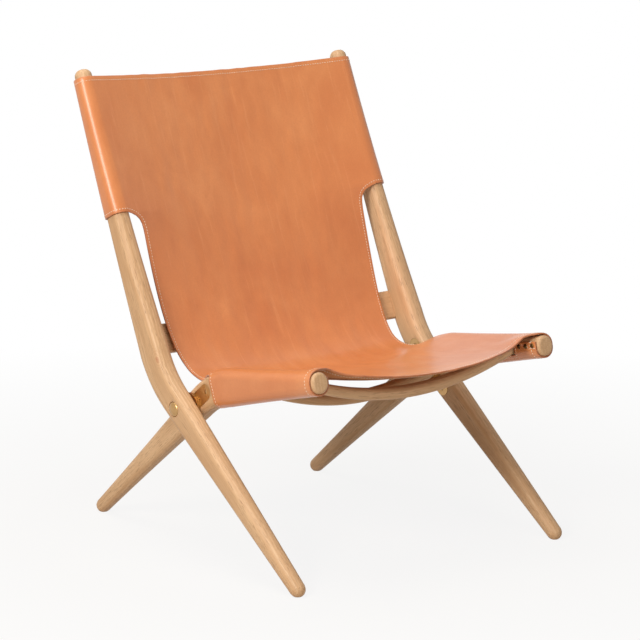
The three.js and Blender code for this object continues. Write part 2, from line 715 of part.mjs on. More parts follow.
// A back that sags between the stiles and a seat that sags between the seat rails.
const BACK_SLING = {
  member: UPRIGHT,
  start: BACK_SLEEVE_START,
  end: BACK_SLEEVE_END,
  flap: BACK_FLAP_REACH,
  sag: (share) => lerp(BACK_SAG_START, BACK_SAG_END, share),
  edgeShift: -BACK_EDGE_DIP,
};
const SEAT_SLING = {
  member: SEAT_SIDE,
  start: SEAT_SLEEVE_START,
  end: SEAT_SLEEVE_END,
  flap: SEAT_FLAP_REACH,
  sag: (share) => throughThree(SEAT_SAG_START, SEAT_SAG_MIDDLE, SEAT_SAG_END, share),
  edgeShift: SEAT_NOSE,
};

// A parabola through a start, a middle and an end.
function throughThree(start, middle, end, share) {
  const [before, after] = [1 - share, 2 * share - 1];
  return middle * 4 * share * before + end * share * after - start * before * after;
}

// Where a sling's free span leaves its member at a station, and how it sags.
function spanAt(sling, station) {
  const { member } = sling;
  const half = halfSizes(member, station);
  const sag = sling.sag((station - sling.start) / (sling.end - sling.start));
  const wrap = half.corner + WRAP_GAP;
  const cornerX = half.thickness - half.corner;
  const cornerUp = half.depth - half.corner;
  let tilt = 0;
  for (let i = 0; i < TANGENT_ROUNDS; i++) {
    tilt = Math.atan((2 * sag) / (member.x - cornerX - wrap * Math.sin(tilt)));
  }
  const edge = member.x - cornerX - wrap * Math.sin(tilt);
  const top = cornerUp + wrap * Math.cos(tilt);
  const height = (x) => top - sag * (1 - (x / edge) ** 2);
  return { sag, wrap, cornerX, cornerUp, tilt, edge, height };
}

// Half of the leather's middle surface in a section: the span, round the member, up its inner side.
function halfPath(sling, station) {
  const { wrap, cornerX, cornerUp, tilt, edge, height } = spanAt(sling, station);
  const path = SPAN_SHARES.map((share) => [share * edge, height(share * edge)]);
  const round = (right, up, angle) => {
    const across = right * cornerX + wrap * Math.cos(angle);
    path.push([sling.member.x + across, up * cornerUp + wrap * Math.sin(angle)]);
  };
  round(-1, 1, QUARTER + tilt / 2);
  round(-1, 1, QUARTER);
  for (const [corner, [right, up]] of [[1, 1], [1, -1], [-1, -1]].entries()) {
    for (let step = 0; step <= CORNER_STEPS; step++) {
      round(right, up, (1 - corner - step / CORNER_STEPS) * QUARTER);
    }
  }
  path.push([sling.member.x - cornerX - wrap, sling.flap]);
  return path;
}

// A path moved sideways by a distance.
function offsetPath(path, distance) {
  return path.map(([x, y], i) => {
    const [before, after] = [path[Math.max(i - 1, 0)], path[Math.min(i + 1, path.length - 1)]];
    const first = new THREE.Vector2(x - before[0], y - before[1]).normalize();
    const second = new THREE.Vector2(after[0] - x, after[1] - y).normalize();
    const along = first.add(second).normalize();
    return [x - along.y * distance, y + along.x * distance];
  });
}

// A ring round the leather's thickness, shifted along the member in the middle of the chair.
function slingRing(sling, station, shift) {
  const at = lineAt(sling.member, station);
  const { edge } = spanAt(sling, station);
  const half = halfPath(sling, station);
  const mirrored = half.slice(1).reverse().map(([x, up]) => [-x, up]);
  const whole = [...mirrored, ...half];
  const outer = offsetPath(whole, LEATHER_THICKNESS / 2);
  const inner = offsetPath(whole, -LEATHER_THICKNESS / 2).reverse();
  return [...outer, ...inner].map(([x, up]) => {
    const on = shift * Math.max(1 - (x / edge) ** 2, 0);
    return place(sling.member, at, x, up, on);
  });
}

// The leather over a list of stations, with its last edge shifted and holes for the studs.
function slingBody(sling, stations) {
  const rings = stations.map((station) =>
    slingRing(sling, station, station === sling.end ? sling.edgeShift : 0));
  const cutters = Object.values(SIDES).flatMap((side) => studSpots(sling, side).map(studCutter));
  return loft(rings).subtract(joined(cutters));
}

function backSling() {
  return slingBody(BACK_SLING, steps(BACK_SLEEVE_START, BACK_SLEEVE_END, BACK_ROWS));
}

// The seat's flaps are notched where the bow rails meet the seat rails.
function seatSling() {
  const inElbow = steps(SEAT_SLEEVE_START, SEAT_SIDE.elbowEnd, SEAT_ELBOW_ROWS);
  const inRail = steps(SEAT_SIDE.elbowEnd, SEAT_SLEEVE_END, SEAT_ROWS).slice(1);
  const notches = Object.values(SIDES).flatMap((side) =>
    [FRONT_BOW_STATION, REAR_BOW_STATION].map((station) => notch(station, side)));
  return slingBody(SEAT_SLING, [...inElbow, ...inRail]).subtract(joined(notches));
}

function notch(station, side) {
  const at = lineAt(SEAT_SIDE, station);
  const across = [side * (SEAT_SIDE_INNER - FLAP_FACE - NOTCH_MARGIN), side * SEAT_SIDE_X];
  const reach = BOW_WIDTH / 2 + NOTCH_MARGIN;
  const low = -(BOW_HEIGHT + LEATHER_THICKNESS) / 2 - NOTCH_MARGIN;
  return block(SEAT_SIDE, at, across, [low, SEAT_FLAP_REACH + NOTCH_MARGIN], [-reach, reach]);
}

// Waist

// A point of a sling's middle surface in the plane of the chair's side.
function onSling(sling, station, x) {
  const at = lineAt(sling.member, station);
  return place(sling.member, at, 0, spanAt(sling, station).height(x), 0);
}

// The direction of a member's line where its sling starts.
function lineDirection({ member, start }) {
  const at = lineAt(member, start);
  return place(member, at, 0, 0, OVERRUN).sub(place(member, at, 0, 0, 0));
}

// The waist's line from one X on the back to another on the seat, CLEARANCE away from both.
// Its handles lean from its ends by shares of the distance between them, along Y and Z.
function waistCurve(backX, seatX, handleShares) {
  const end = (sling, x) => {
    const edge = onSling(sling, sling.start, x);
    const away = onSling(sling, sling.start, x).sub(onSling(sling, sling.start + OVERRUN, x));
    return edge.addScaledVector(away.normalize(), CLEARANCE);
  };
  const ends = [end(BACK_SLING, backX), end(SEAT_SLING, seatX)];
  const reach = ends[0].distanceTo(ends[1]);
  const handles = ends.map((from, i) => {
    const [y, z] = handleShares[i];
    return new THREE.Vector3(0, from.y + y * reach, from.z + z * reach);
  });
  return new THREE.CubicBezierCurve3(ends[0], ...handles, ends[1]);
}

// The free leather between the frames: rows from back to seat, each a parabola between its edges.
function waist() {
  const middle = waistCurve(0, 0, WAIST_MIDDLE_HANDLE_SHARES);
  const edge = waistCurve(WAIST_START_HALF_WIDTH, WAIST_END_HALF_WIDTH, WAIST_EDGE_HANDLE_SHARES);
  const point = (row, across) => {
    const width = lerp(WAIST_START_HALF_WIDTH, WAIST_END_HALF_WIDTH, row);
    const made = middle.getPoint(row).lerp(edge.getPoint(row), across * across);
    made.x = across * width;
    return made;
  };
  const nudge = 1 / WAIST_ROWS / WAIST_COLUMNS;
  const travel = (row, across) => {
    if (row === 0) return lineDirection(BACK_SLING).negate();
    if (row === 1) return lineDirection(SEAT_SLING);
    return point(row + nudge, across).sub(point(row - nudge, across));
  };
  const lifted = (row, across, height) => {
    const over = point(row, across + nudge).sub(point(row, across - nudge));
    const normal = travel(row, across).cross(over).normalize();
    return point(row, across).addScaledVector(normal, height);
  };
  const columns = steps(-1, 1, WAIST_COLUMNS);
  const ring = (row) => [
    ...columns.map((across) => lifted(row, across, LEATHER_THICKNESS / 2)),
    ...columns.map((across) => lifted(row, across, -LEATHER_THICKNESS / 2)).reverse(),
  ];
  return loft(steps(0, 1, WAIST_ROWS).map(ring));
}

// Studs

// Where a sling's studs sit on one side: rows of studs from both ends of the flap.
function studSpots(sling, side) {
  const spots = [];
  for (let i = 0; i < STUD_COUNT; i++) {
    const inset = STUD_EDGE_DISTANCE + i * STUD_PITCH;
    spots.push(sling.start + inset, sling.end - inset);
  }
  return spots.map((station) => {
    const at = lineAt(sling.member, station);
    const inner = sling.member.x - halfSizes(sling.member, station).thickness;
    const origin = place(sling.member, at, side * (inner - FLAP_FACE - CLEARANCE), STUD_HEIGHT, 0);
    return { origin, direction: outward(-side) };
  });
}

function stud({ origin, direction }) {
  const [radius, tip] = [STUD_SHANK_RADIUS, -STUD_SHANK_LENGTH];
  const head = dome(STUD_HEAD_RADIUS, 0, STUD_HEAD_RISE);
  const profile = [[0, tip], [radius, tip], [radius, 0], ...head];
  return turned(profile, STUD_SIDES, origin, direction);
}

function studCutter({ origin, direction }) {
  const depth = -STUD_SHANK_LENGTH - CLEARANCE;
  return bore(STUD_SHANK_RADIUS + CLEARANCE, depth, OVERRUN, AWL_SIDES, origin, direction);
}

// Assembly

const chair = new THREE.Group();
const backFrame = new THREE.Group();
const seatFrame = new THREE.Group();
const sling = new THREE.Group();
chair.add(backFrame, seatFrame, sling);

backFrame.add(mesh("back_rail", backRail(), oak()));
seatFrame.add(mesh("front_bow_rail", bowRail(FRONT_BOW_STATION, FRONT_BOW_SAG), oak()));
seatFrame.add(mesh("rear_bow_rail", bowRail(REAR_BOW_STATION, REAR_BOW_SAG), oak()));
sling.add(mesh("back_sling", backSling(), leather()));
sling.add(mesh("seat_sling", seatSling(), leather()));
sling.add(mesh("sling_waist", waist(), leather()));

for (const [name, side] of Object.entries(SIDES)) {
  backFrame.add(mesh(`${name}_upright`, upright(side), oak()));
  seatFrame.add(mesh(`${name}_seat_side`, seatSide(side), oak()));
  backFrame.add(mesh(`${name}_upright_plate`, uprightPlate(side), brass()));
  seatFrame.add(mesh(`${name}_seat_plate`, seatPlate(side), brass()));
  backFrame.add(mesh(`${name}_pivot_bolt`, bolt(side), brass()));
  backFrame.add(mesh(`${name}_pivot_washer`, washer(side), brass()));
  backFrame.add(mesh(`${name}_pivot_nut`, nut(side), brass()));
  const uprightSpots = plateScrewSpots(UPRIGHT_PLATE, side);
  const seatSpots = plateScrewSpots(SEAT_PLATE, side);
  addScrews(backFrame, `${name}_upright_plate_screw`, uprightSpots, PLATE_SCREW_LENGTH);
  addScrews(seatFrame, `${name}_seat_plate_screw`, seatSpots, PLATE_SCREW_LENGTH);
  addScrews(backFrame, `${name}_back_rail_screw`, railScrewSpots(side), RAIL_SCREW_LENGTH);
  addStuds(backFrame, `${name}_back_stud`, studSpots(BACK_SLING, side));
  addStuds(seatFrame, `${name}_seat_stud`, studSpots(SEAT_SLING, side));
}

function addScrews(group, name, spots, length) {
  spots.forEach((spot, i) => group.add(mesh(`${name}_${i + 1}`, screw(spot, length), brass())));
}

function addStuds(group, name, spots) {
  spots.forEach((spot, i) => group.add(mesh(`${name}_${i + 1}`, stud(spot), darkBrass())));
}

// The origin lies on the floor under the middle of the chair's bounds.
const bounds = new THREE.Box3().setFromObject(chair);
chair.position.y = -(bounds.min.y + bounds.max.y) / 2;

export default chair;
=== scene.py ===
# The looks of the leather sling lounge chair: oak frames, brass hinges and one slung hide.
# Places are worked out in millimetres in the chair's own frame, with the pivots at Y = PIVOT_Y,
# and turned into metres where a mesh is made. The front faces -Y, left is the side of -X.
import math
from types import SimpleNamespace
import bmesh
import bpy
import numpy as np
from mathutils import Color, Matrix, Vector
from mathutils.bvhtree import BVHTree


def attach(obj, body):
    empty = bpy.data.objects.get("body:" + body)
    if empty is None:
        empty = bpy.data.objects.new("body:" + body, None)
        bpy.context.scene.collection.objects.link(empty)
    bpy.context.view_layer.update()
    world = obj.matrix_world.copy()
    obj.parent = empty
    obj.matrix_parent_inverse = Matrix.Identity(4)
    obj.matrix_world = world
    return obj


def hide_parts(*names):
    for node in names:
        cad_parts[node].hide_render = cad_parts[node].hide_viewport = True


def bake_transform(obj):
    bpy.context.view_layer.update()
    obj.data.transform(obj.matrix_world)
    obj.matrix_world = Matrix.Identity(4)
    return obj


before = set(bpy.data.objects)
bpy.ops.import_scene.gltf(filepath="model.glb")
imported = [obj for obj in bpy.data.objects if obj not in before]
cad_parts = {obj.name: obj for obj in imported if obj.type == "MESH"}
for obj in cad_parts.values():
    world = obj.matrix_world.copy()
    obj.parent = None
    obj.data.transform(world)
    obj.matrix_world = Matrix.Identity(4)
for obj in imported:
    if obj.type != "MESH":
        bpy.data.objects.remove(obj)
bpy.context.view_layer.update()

MM = 0.001
PIVOT_Y = 16.172
PIVOT_HEIGHT = 245.5
UPRIGHT_X = 273.5
SEAT_SIDE_X = 236.5
SIDES = {"left": -1, "right": 1}
QUARTER = math.pi / 2

# Members
MEMBER_THICKNESS = 32
MEMBER_CORNER_RADIUS = 12
PIVOT_DEPTH = 51
ELBOW_DEPTH = 57
ELBOW_RADIUS = 190
FOOT_RADIUS = 12.75
FOOT_FLAT_DEPTH = 1.8
CORNER_STEPS = 7
FULL_ROUND_SHARE = 0.98
LEG_RINGS = 24
ELBOW_RINGS = 14
STRETCH_RINGS = 34
FOOT_SHARES = (0.985, 0.94, 0.86, 0.75, 0.6, 0.42, 0.22)
CROWN_SHARES = (0.2, 0.4, 0.6, 0.75, 0.87, 0.95, 0.99)
UPRIGHT_INNER_X = UPRIGHT_X - MEMBER_THICKNESS / 2
UPRIGHT_OUTER_X = UPRIGHT_X + MEMBER_THICKNESS / 2
SEAT_INNER_X = SEAT_SIDE_X - MEMBER_THICKNESS / 2
SEAT_OUTER_X = SEAT_SIDE_X + MEMBER_THICKNESS / 2

# Joinery and softened edges
LET_IN_GAP = 0.3
CUT_OVERSHOOT = 2
EDGE_SOFTNESS = 0.5
SOFTENED_DEG = 40
SHARP_DEG = 50

# Steps and shifts in which the grain is measured
STATION_STEP = 2.0
STATION_MARGINS = (15, 5)
GRAIN_SHIFTS = (137.0, 61.0, 911.0)
BACK_RAIL_SHIFT = 3
BOW_RAIL_SHIFT = 8
SEAT_SIDE_SHIFT = 4

# Back rail and bow rails
BACK_RAIL_STATION = 139
BACK_RAIL_SIZE = (51, 12)
BACK_RAIL_EDGE_RADIUS = 3
BACK_RAIL_CORNER_STEPS = 5
BACK_RAIL_RINGS = 41
BACK_RAIL_SETBACK = 18
BACK_RAIL_BOW = 12
BACK_RAIL_REBATE = 16
RAIL_SCREW_SPACING = 28
RAIL_SCREW_LENGTH = 24
BOW_SIZE = (27, 19)
BOW_CORNER_RADIUS = 8.5
BOW_RINGS = 49
BOW_SAGS = {"front_bow_rail": 42.5, "rear_bow_rail": 49}
FRONT_BOW_INSET = 70
REAR_BOW_INSET = 64

# Hinges
PLATE_REACH = 49.5
PLATE_HALF_WIDTH = 13.5
PLATE_THICKNESS = 2.5
PLATE_END_STEPS = 12
UPRIGHT_PLATE_LEAN_DEG = 3
PLATE_SCREW_LENGTH = 18
SCREW_SHANK_RADIUS = 2
SLOT_HALF_WIDTH = 0.8
SLOT_DEPTH = 1.7
SLOT_HALF_LENGTH = 9
SLOT_CUT_TOP = 1
SCREW_SHARP_DEG = 30
BOLT_RECESS_RADIUS = 13.1
BOLT_RECESS_DEPTH = 3
BOLT_RECESS_SIDES = 40
WASHER_FACE = 2.1
TURNED_SOFTNESS = 0.3
TIP_RADIUS = 0.02

# Turned parts: how many sides, the profile's radii and reaches, and the radius, base, rise and
# steps of the dome on top
TURNED = {
    "bolt": (56, ((TIP_RADIUS, -2.5), (12.5, -2.5), (12.5, -1.4)), (12.5, -1.4, 4.9, 12)),
    "nut": (48, ((TIP_RADIUS, -0.2), (10.5, -0.2), (10.5, 4.5)), (10.5, 4.5, 4, 8)),
    "stud": (28, ((1.1, -6), (1.1, -0.4), (3.8, -0.4), (4.2, 0)), (4.2, 0, 2, 6)),
    "screw": (28, ((SCREW_SHANK_RADIUS, -2.4), (4.6, -0.15), (4.35, 0)), (4.35, 0, 0.12, 1)),
}

# Leather
LEATHER_THICKNESS = 3
LEATHER_EASE = 0.5
LEATHER_EDGE_SOFTNESS = 0.8
LEATHER_SOFTENED_DEG = 60
BACK_START = 353
STILE_BARE_LENGTH = 15.7
BACK_SAGS = (38, 25)
BACK_FLAP = 6
SEAT_START = 70
RAIL_BARE_LENGTH = 4.7
SEAT_SAGS = (33, 39, 33)
SEAT_FLAP = 9
SEAT_NOSE = 10
SEAT_DIP = 14
SEAT_DIP_X = 203
SEAT_DIP_REACHES = (60, 20)
SEAT_LIFT = 6.5
SEAT_LIFT_X = 209
SEAT_LIFT_REACH = 22
SEAT_SHIFT_FADE = 90
SEAT_LIFT_FADE = 75
WAIST_HALF_WIDTHS = (236.5, 218.5)
WAIST_MIDDLE_HANDLES = ((-0.35, -0.75), (0.39, -0.04))
WAIST_EDGE_HANDLES = ((-0.2, -0.72), (0.34, -0.18))
SEAT_SPLIT_X = 252

# The cut-outs beside the waist, and how its edge comes to lie on the seat sides
CUT_OUT_HALF_WIDTHS = (234.6, 219.2)
CUT_OUT_NARROWING = 1.15
UPPER_FLARE = 32
UPPER_FLARE_REACH = 7.5
LOWER_FLARE = 32.5
LOWER_FLARE_REACH = 84
LOWER_FLARE_POWER = 1.35
LOWER_FLARE_STATION = -14
LOWER_WAIST_SHARE = 0.6
FAR_STATION = -99.0
ON_RAIL_REACH = 17
ON_RAIL_OVERLAP = 20
ON_RAIL_POINTS = 30

# Rows and columns of the leather's surface
BACK_ROWS = 44
FIRST_WAIST_SHARES = (0.004, 0.010, 0.018, 0.028, 0.04, 0.055, 0.072)
WAIST_SHARES = (0.092, 0.985, 66)
SEAT_ROW_PITCH = 5
SPAN_POINTS = 120
MIDDLE_COLUMNS = 54
SLEEVE_COLUMNS = 34
TILT_STEPS = 3
TILT_ROUNDS = 6
BOW_ROW_GAP = 1.5
NOTCH_GAP = 1
NOTCH_DROP = 2.5
NOTCH_FLAP = 8

# How the free leather is faired and rippled
RELAX_ROUNDS = 12
RELAX_SHARE = 0.5
KEPT_ROWS = (30, 20)
KEPT_COLUMNS = 12
RIPPLE_SEED = 11
RIPPLE_COUNT = 14
RIPPLE_LENGTHS = (25, 120)
RIPPLE_LAST_PHASE = 6.3
RIPPLE_SLOPE = 0.8
RIPPLE_ACROSS = 0.10
RIPPLE_ALONG = 0.05
RIPPLE_HALF_WIDTH = 150
RIPPLE_FADE = 70
RIPPLE_WAY = np.array((0, -0.5, 0.87))
DISTANCE_BATCH = 500

# Stitching
STITCH_PITCH = 5.0
STITCH_HALF_LENGTH = 1.5
STITCH_HALF_WIDTH = 0.5
STITCH_HALF_HEIGHT = 0.42
STITCH_SECTIONS = ((-1.5, 0.3), (-1.25, 0.75), (-0.7, 1), (0.7, 1), (1.25, 0.75), (1.5, 0.3))
STITCH_SIDES = 6
STITCH_END_DIP = 1.2
STITCH_LIFT = 0.15
STITCH_REACH = 0.8
SEAM_STEP = 2
FRONT_SEAM_Y = -285
FRONT_SEAM_INSET = 11.5
TOP_SEAM_HEIGHT = 690
TOP_SEAM_INSET = 7.6
SIDE_SEAM_INSETS = (5.6, 4.3)
SIDE_SEAM_X = 236
SIDE_SEAM_FADE = 8

# Studs
STUD_PITCH = 16.6
STUD_EDGE_DISTANCE = 8.6
STUD_COUNT = 3
STUD_HEIGHT = 2.5
STUD_LIFT = 0.1

# Materials, floor, light and camera, in metres
KNOT = (0.153, 0.083, 1.003)
WHITE = (1, 1, 1, 1)
FLOOR_REACH = 60
FLOOR_COLOUR = (0.6, 0.54, 0.46, 1)
FLOOR_SHADE_REACH = (0.5, 1.6)
FLOOR_WHITE_SHARE = 0.88
WORLD_COLOUR = (1.0, 0.9, 0.78, 1)
WORLD_STRENGTH = 0.1
LAMPS = (
    ("key", (-3.15, -1.05, 2.2), (0, 0, 0.35), (1.3, 1.3), 95, (1.0, 0.975, 0.94)),
    ("front", (-0.9, -3.6, 1.0), (0, 0, 0.4), (2.0, 1.3), 31, (1.0, 0.99, 0.97)),
    ("top", (-0.5, 0.3, 3.0), (0, 0, 0.3), (1.8, 1.8), 46, (1.0, 0.99, 0.98)),
)
CAMERA_PLACE = (-2.809, -3.6306, 1.284)
CAMERA_TURNS_DEG = (-37.755, 11.343, 0.14)
CAMERA_FOCAL_PIXELS = 2762
PICTURE_PIXELS = 640
SENSOR_WIDTH_MM = 36
CAMERA_CLIP_END = 50


# Lines of the members


def make_member(towards, x, leg_deg, elbow_start, elbow_deg, end_deg, length, **rest):
    leg_slope = math.radians(leg_deg)
    turn = math.radians(elbow_deg - leg_deg)
    elbow_length = ELBOW_RADIUS * abs(turn)
    foot = PIVOT_HEIGHT - FOOT_RADIUS + FOOT_FLAT_DEPTH
    return SimpleNamespace(
        **rest, towards=towards, x=x, leg_slope=leg_slope, leg_length=foot / math.sin(leg_slope),
        elbow_start=elbow_start, turn=turn, elbow_length=elbow_length,
        elbow_end=elbow_start + elbow_length, length=length,
        length_turn=math.radians(end_deg - elbow_deg), end=elbow_start + elbow_length + length)


UPRIGHT = make_member(
    1, UPRIGHT_X, 36.5, 24, 62.8, 67.2, 500, end_depth=28, end_thickness=27.5, end_corner=12,
    leg_share=0.56, length_share=0.26, crown=(10, 9))
SEAT_SIDE = make_member(
    -1, SEAT_SIDE_X, 38.6, 14, 11.8, 11.8, 242, end_depth=34, end_thickness=32, end_corner=15,
    leg_share=0.35, length_share=0.31, crown=(5, 5))
UPRIGHT_PLATE_ANGLE = UPRIGHT.leg_slope + math.radians(UPRIGHT_PLATE_LEAN_DEG)
SEAT_PLATE_ANGLE = math.pi - SEAT_SIDE.leg_slope
BACK_END = UPRIGHT.end - STILE_BARE_LENGTH
SEAT_END = SEAT_SIDE.end - RAIL_BARE_LENGTH
BOW_STATIONS = {
    "front_bow_rail": SEAT_END - FRONT_BOW_INSET, "rear_bow_rail": SEAT_START + REAR_BOW_INSET}


def onward(start, towards, length, turn):
    y, z, slope = start
    end = slope + turn
    run = (math.sin(end) - math.sin(slope)) / turn if turn else math.cos(end)
    rise = (math.cos(slope) - math.cos(end)) / turn if turn else math.sin(end)
    return y + towards * length * run, z + length * rise, end


def line_at(member, station):
    """The Y, Z and slope of a member's line at a distance from the pivot, negative in the leg."""
    towards = member.towards
    in_elbow = min(max(station - member.elbow_start, 0), member.elbow_length)
    in_length = max(station - member.elbow_end, 0)
    at = (PIVOT_Y, PIVOT_HEIGHT, member.leg_slope)
    at = onward(at, towards, min(station, member.elbow_start), 0)
    at = onward(at, towards, in_elbow, member.turn * in_elbow / member.elbow_length)
    return onward(at, towards, in_length, member.length_turn * in_length / member.length)


def lerp(a, b, share):
    return a + (b - a) * share


def clamp(value, low=0.0, high=1.0):
    return min(max(value, low), high)


def smooth(share):
    share = clamp(share)
    return share * share * (3 - 2 * share)


def taper(share, fullness_share):
    left = 1 - share
    return left * left + 2 * fullness_share * share * left


def section_at(member, station):
    """Half of a member's depth and thickness at a station, and its corners' radius."""
    in_leg = clamp(-station / member.leg_length)
    in_length = clamp((station - member.elbow_end) / member.length)
    foot = 2 * FOOT_RADIUS
    if station < 0:
        depth = lerp(foot, PIVOT_DEPTH, taper(in_leg, member.leg_share))
    else:
        middle = lerp(PIVOT_DEPTH, ELBOW_DEPTH, clamp(station / member.elbow_end))
        depth = lerp(member.end_depth, middle, taper(in_length, member.length_share))
    thickness = lerp(lerp(MEMBER_THICKNESS, foot, in_leg), member.end_thickness, in_length)
    return depth / 2, thickness / 2, lerp(MEMBER_CORNER_RADIUS, member.end_corner, in_length)


def place(member, station, x, up, on=0.0):
    """The point at a station and an X, raised along the section's normal and moved on."""
    y, z, slope = line_at(member, station)
    sin, cos = math.sin(slope), math.cos(slope)
    return np.array((x, y + member.towards * (on * cos - up * sin), z + on * sin + up * cos))


# Meshes


def add_object(name, data):
    made = bpy.data.objects.new(name, data)
    bpy.context.scene.collection.objects.link(made)
    return made


def to_object(name, points, faces):
    """A smooth-shaded object of points in millimetres, with its faces turned outward."""
    data = bpy.data.meshes.new(name)
    data.from_pydata([tuple(np.asarray(p) * MM) for p in points], [], faces)
    data.validate()
    mesh = bmesh.new()
    mesh.from_mesh(data)
    bmesh.ops.recalc_face_normals(mesh, faces=mesh.faces)
    mesh.to_mesh(data)
    mesh.free()
    data.shade_smooth()
    return add_object(name, data)


def loft(rings):
    """Points and faces over rings of points of equal count, closed at both ends."""
    count = len(rings[0])
    last = (len(rings) - 1) * count
    faces = []
    for row in range(0, last, count):
        for i in range(count):
            a, b = row + i, row + (i + 1) % count
            faces.append((a, b, b + count, a + count))
    faces += [tuple(reversed(range(count))), tuple(range(last, last + count))]
    return [point for ring in rings for point in ring], faces


def rounded_ring(half_width, half_height, radius, put, steps=CORNER_STEPS):
    radius = min(radius, half_width * FULL_ROUND_SHARE, half_height * FULL_ROUND_SHARE)
    ring = []
    for corner, (right, up) in enumerate(((1, 1), (-1, 1), (-1, -1), (1, -1))):
        for step in range(steps + 1):
            angle = (corner + step / steps) * QUARTER
            ring.append(put(right * (half_width - radius) + radius * math.cos(angle),
                            up * (half_height - radius) + radius * math.sin(angle)))
    return ring


def turned(name, profile, origin, direction, sides):
    """A body turned about a line. The profile's points are a radius and a reach along the line."""
    turn = Vector(direction).normalized().to_track_quat("Z", "Y")
    angles = [2 * math.pi * i / sides for i in range(sides)]
    rings = [[np.array(origin, float)
              + np.array(turn @ Vector((radius * math.cos(a), radius * math.sin(a), reach)))
              for a in angles] for radius, reach in profile]
    return to_object(name, *loft(rings))


def set_all(thing, **settings):
    for key, value in settings.items():
        setattr(thing, key, value)
    return thing


def add_modifier(piece, kind, **settings):
    set_all(piece.modifiers.new(kind.lower(), kind), **settings)


def apply_modifiers(piece):
    """Replaces a piece's mesh by the result of its modifiers."""
    graph = bpy.context.evaluated_depsgraph_get()
    made = bpy.data.meshes.new_from_object(piece.evaluated_get(graph), depsgraph=graph)
    piece.modifiers.clear()
    piece.data = made


def cut(piece, cutters):
    for cutter in cutters:
        add_modifier(piece, "BOOLEAN", operation="DIFFERENCE", solver="EXACT", object=cutter)
    apply_modifiers(piece)
    for cutter in cutters:
        bpy.data.objects.remove(cutter)


def prism(outline, levels, put):
    """A cutter with flat faces: an outline put at two levels."""
    rings = [[put(a, b, level) for a, b in outline] for level in levels]
    return to_object("cutter", *loft(rings))


def oblong(a_range, b_range):
    """The corners of a rectangle over two ranges."""
    (a, c), (b, d) = a_range, b_range
    return [(a, b), (c, b), (c, d), (a, d)]


def soften(piece, width, angle_deg=SOFTENED_DEG):
    """Rounds a piece's hard edges and sets which edges stay sharp."""
    add_modifier(piece, "BEVEL", width=width * MM, segments=2, limit_method="ANGLE",
                 angle_limit=math.radians(angle_deg), harden_normals=False)
    apply_modifiers(piece)
    shade(piece, SHARP_DEG)


def shade(piece, sharp_deg):
    piece.data.shade_smooth()
    piece.data.set_sharp_from_angle(angle=math.radians(sharp_deg))


# Oak members


def member_body(name, member, side):
    rings = []

    def add(station, inset):
        depth, thickness, corner = section_at(member, station)
        rings.append(rounded_ring(
            thickness - inset, depth - inset, corner,
            lambda across, up: place(member, station, side * (member.x + across), up)))

    def add_end(at, reach, inset, shares):
        for share in shares:
            angle = share * QUARTER
            add(at + reach * math.sin(angle), inset * (1 - math.cos(angle)))

    foot = -member.leg_length
    height, crown_inset = member.crown
    top = member.end - height
    add_end(foot, -FOOT_RADIUS, FOOT_RADIUS, FOOT_SHARES)
    for station in [*np.linspace(foot, 0, LEG_RINGS),
                    *np.linspace(member.elbow_start, member.elbow_end, ELBOW_RINGS),
                    *np.linspace(member.elbow_end, top, STRETCH_RINGS)[1:]]:
        add(station, 0)
    add_end(top, height, crown_inset, CROWN_SHARES)
    return to_object(name, *loft(rings))


def floor_cutter():
    """A slab under the floor plane, which cuts the feet flat."""
    reach, depth = 600, 60
    wide = (-reach, reach)
    return prism(oblong(wide, wide), (-depth, 0), lambda x, y, z: np.array((x, y, z)))


def plate_cutter(angle, face, rises, side):
    """The recess for a hinge plate in a member's facing side."""
    outline = []
    radius = PLATE_HALF_WIDTH + LET_IN_GAP
    for end in (0, 1):
        for step in range(PLATE_END_STEPS + 1):
            turn = angle - QUARTER + end * math.pi + math.pi * step / PLATE_END_STEPS
            centre = PLATE_REACH * (1 - 2 * end)
            outline.append((centre * math.cos(angle) + radius * math.cos(turn),
                            centre * math.sin(angle) + radius * math.sin(turn)))
    levels = (face - rises * (PLATE_THICKNESS + LET_IN_GAP), face + rises * CUT_OVERSHOOT)
    return prism(outline, levels,
                 lambda y, z, x: np.array((side * x, PIVOT_Y + y, PIVOT_HEIGHT + z)))


def upright_cutters(side):
    reach = BACK_RAIL_SIZE[0] / 2 + LET_IN_GAP
    across = (side * (UPRIGHT_INNER_X - CUT_OVERSHOOT), side * (UPRIGHT_INNER_X + BACK_RAIL_REBATE))
    rebate = prism(oblong(across, (-ELBOW_DEPTH, LET_IN_GAP - BACK_RAIL_SETBACK)), (-reach, reach),
                   lambda x, up, on: place(UPRIGHT, BACK_RAIL_STATION, x, up, on))
    recess = turned(
        "cutter", [(BOLT_RECESS_RADIUS, -BOLT_RECESS_DEPTH), (BOLT_RECESS_RADIUS, CUT_OVERSHOOT)],
        (side * UPRIGHT_OUTER_X, PIVOT_Y, PIVOT_HEIGHT), (side, 0, 0), BOLT_RECESS_SIDES)
    return [rebate, plate_cutter(UPRIGHT_PLATE_ANGLE, UPRIGHT_INNER_X, -1, side), recess]


def stations_of(member, points):
    """The stations of points on a member's line, and their heights above it."""
    before, beyond = STATION_MARGINS
    tried = np.arange(-member.leg_length - before, member.end + beyond, STATION_STEP)
    lines = np.array([line_at(member, s) for s in tried])
    y_gap = points[:, 1, None] - lines[None, :, 0]
    z_gap = points[:, 2, None] - lines[None, :, 1]
    nearest = np.argmin(y_gap ** 2 + z_gap ** 2, axis=1)
    y, z, slope = lines[nearest].T
    dy, dz = points[:, 1] - y, points[:, 2] - z
    towards = member.towards
    along = tried[nearest] + towards * dy * np.cos(slope) + dz * np.sin(slope)
    return along, -towards * dy * np.sin(slope) + dz * np.cos(slope)


def station_of(member, point):
    along, up = stations_of(member, point[None, :])
    return float(along[0]), float(up[0])


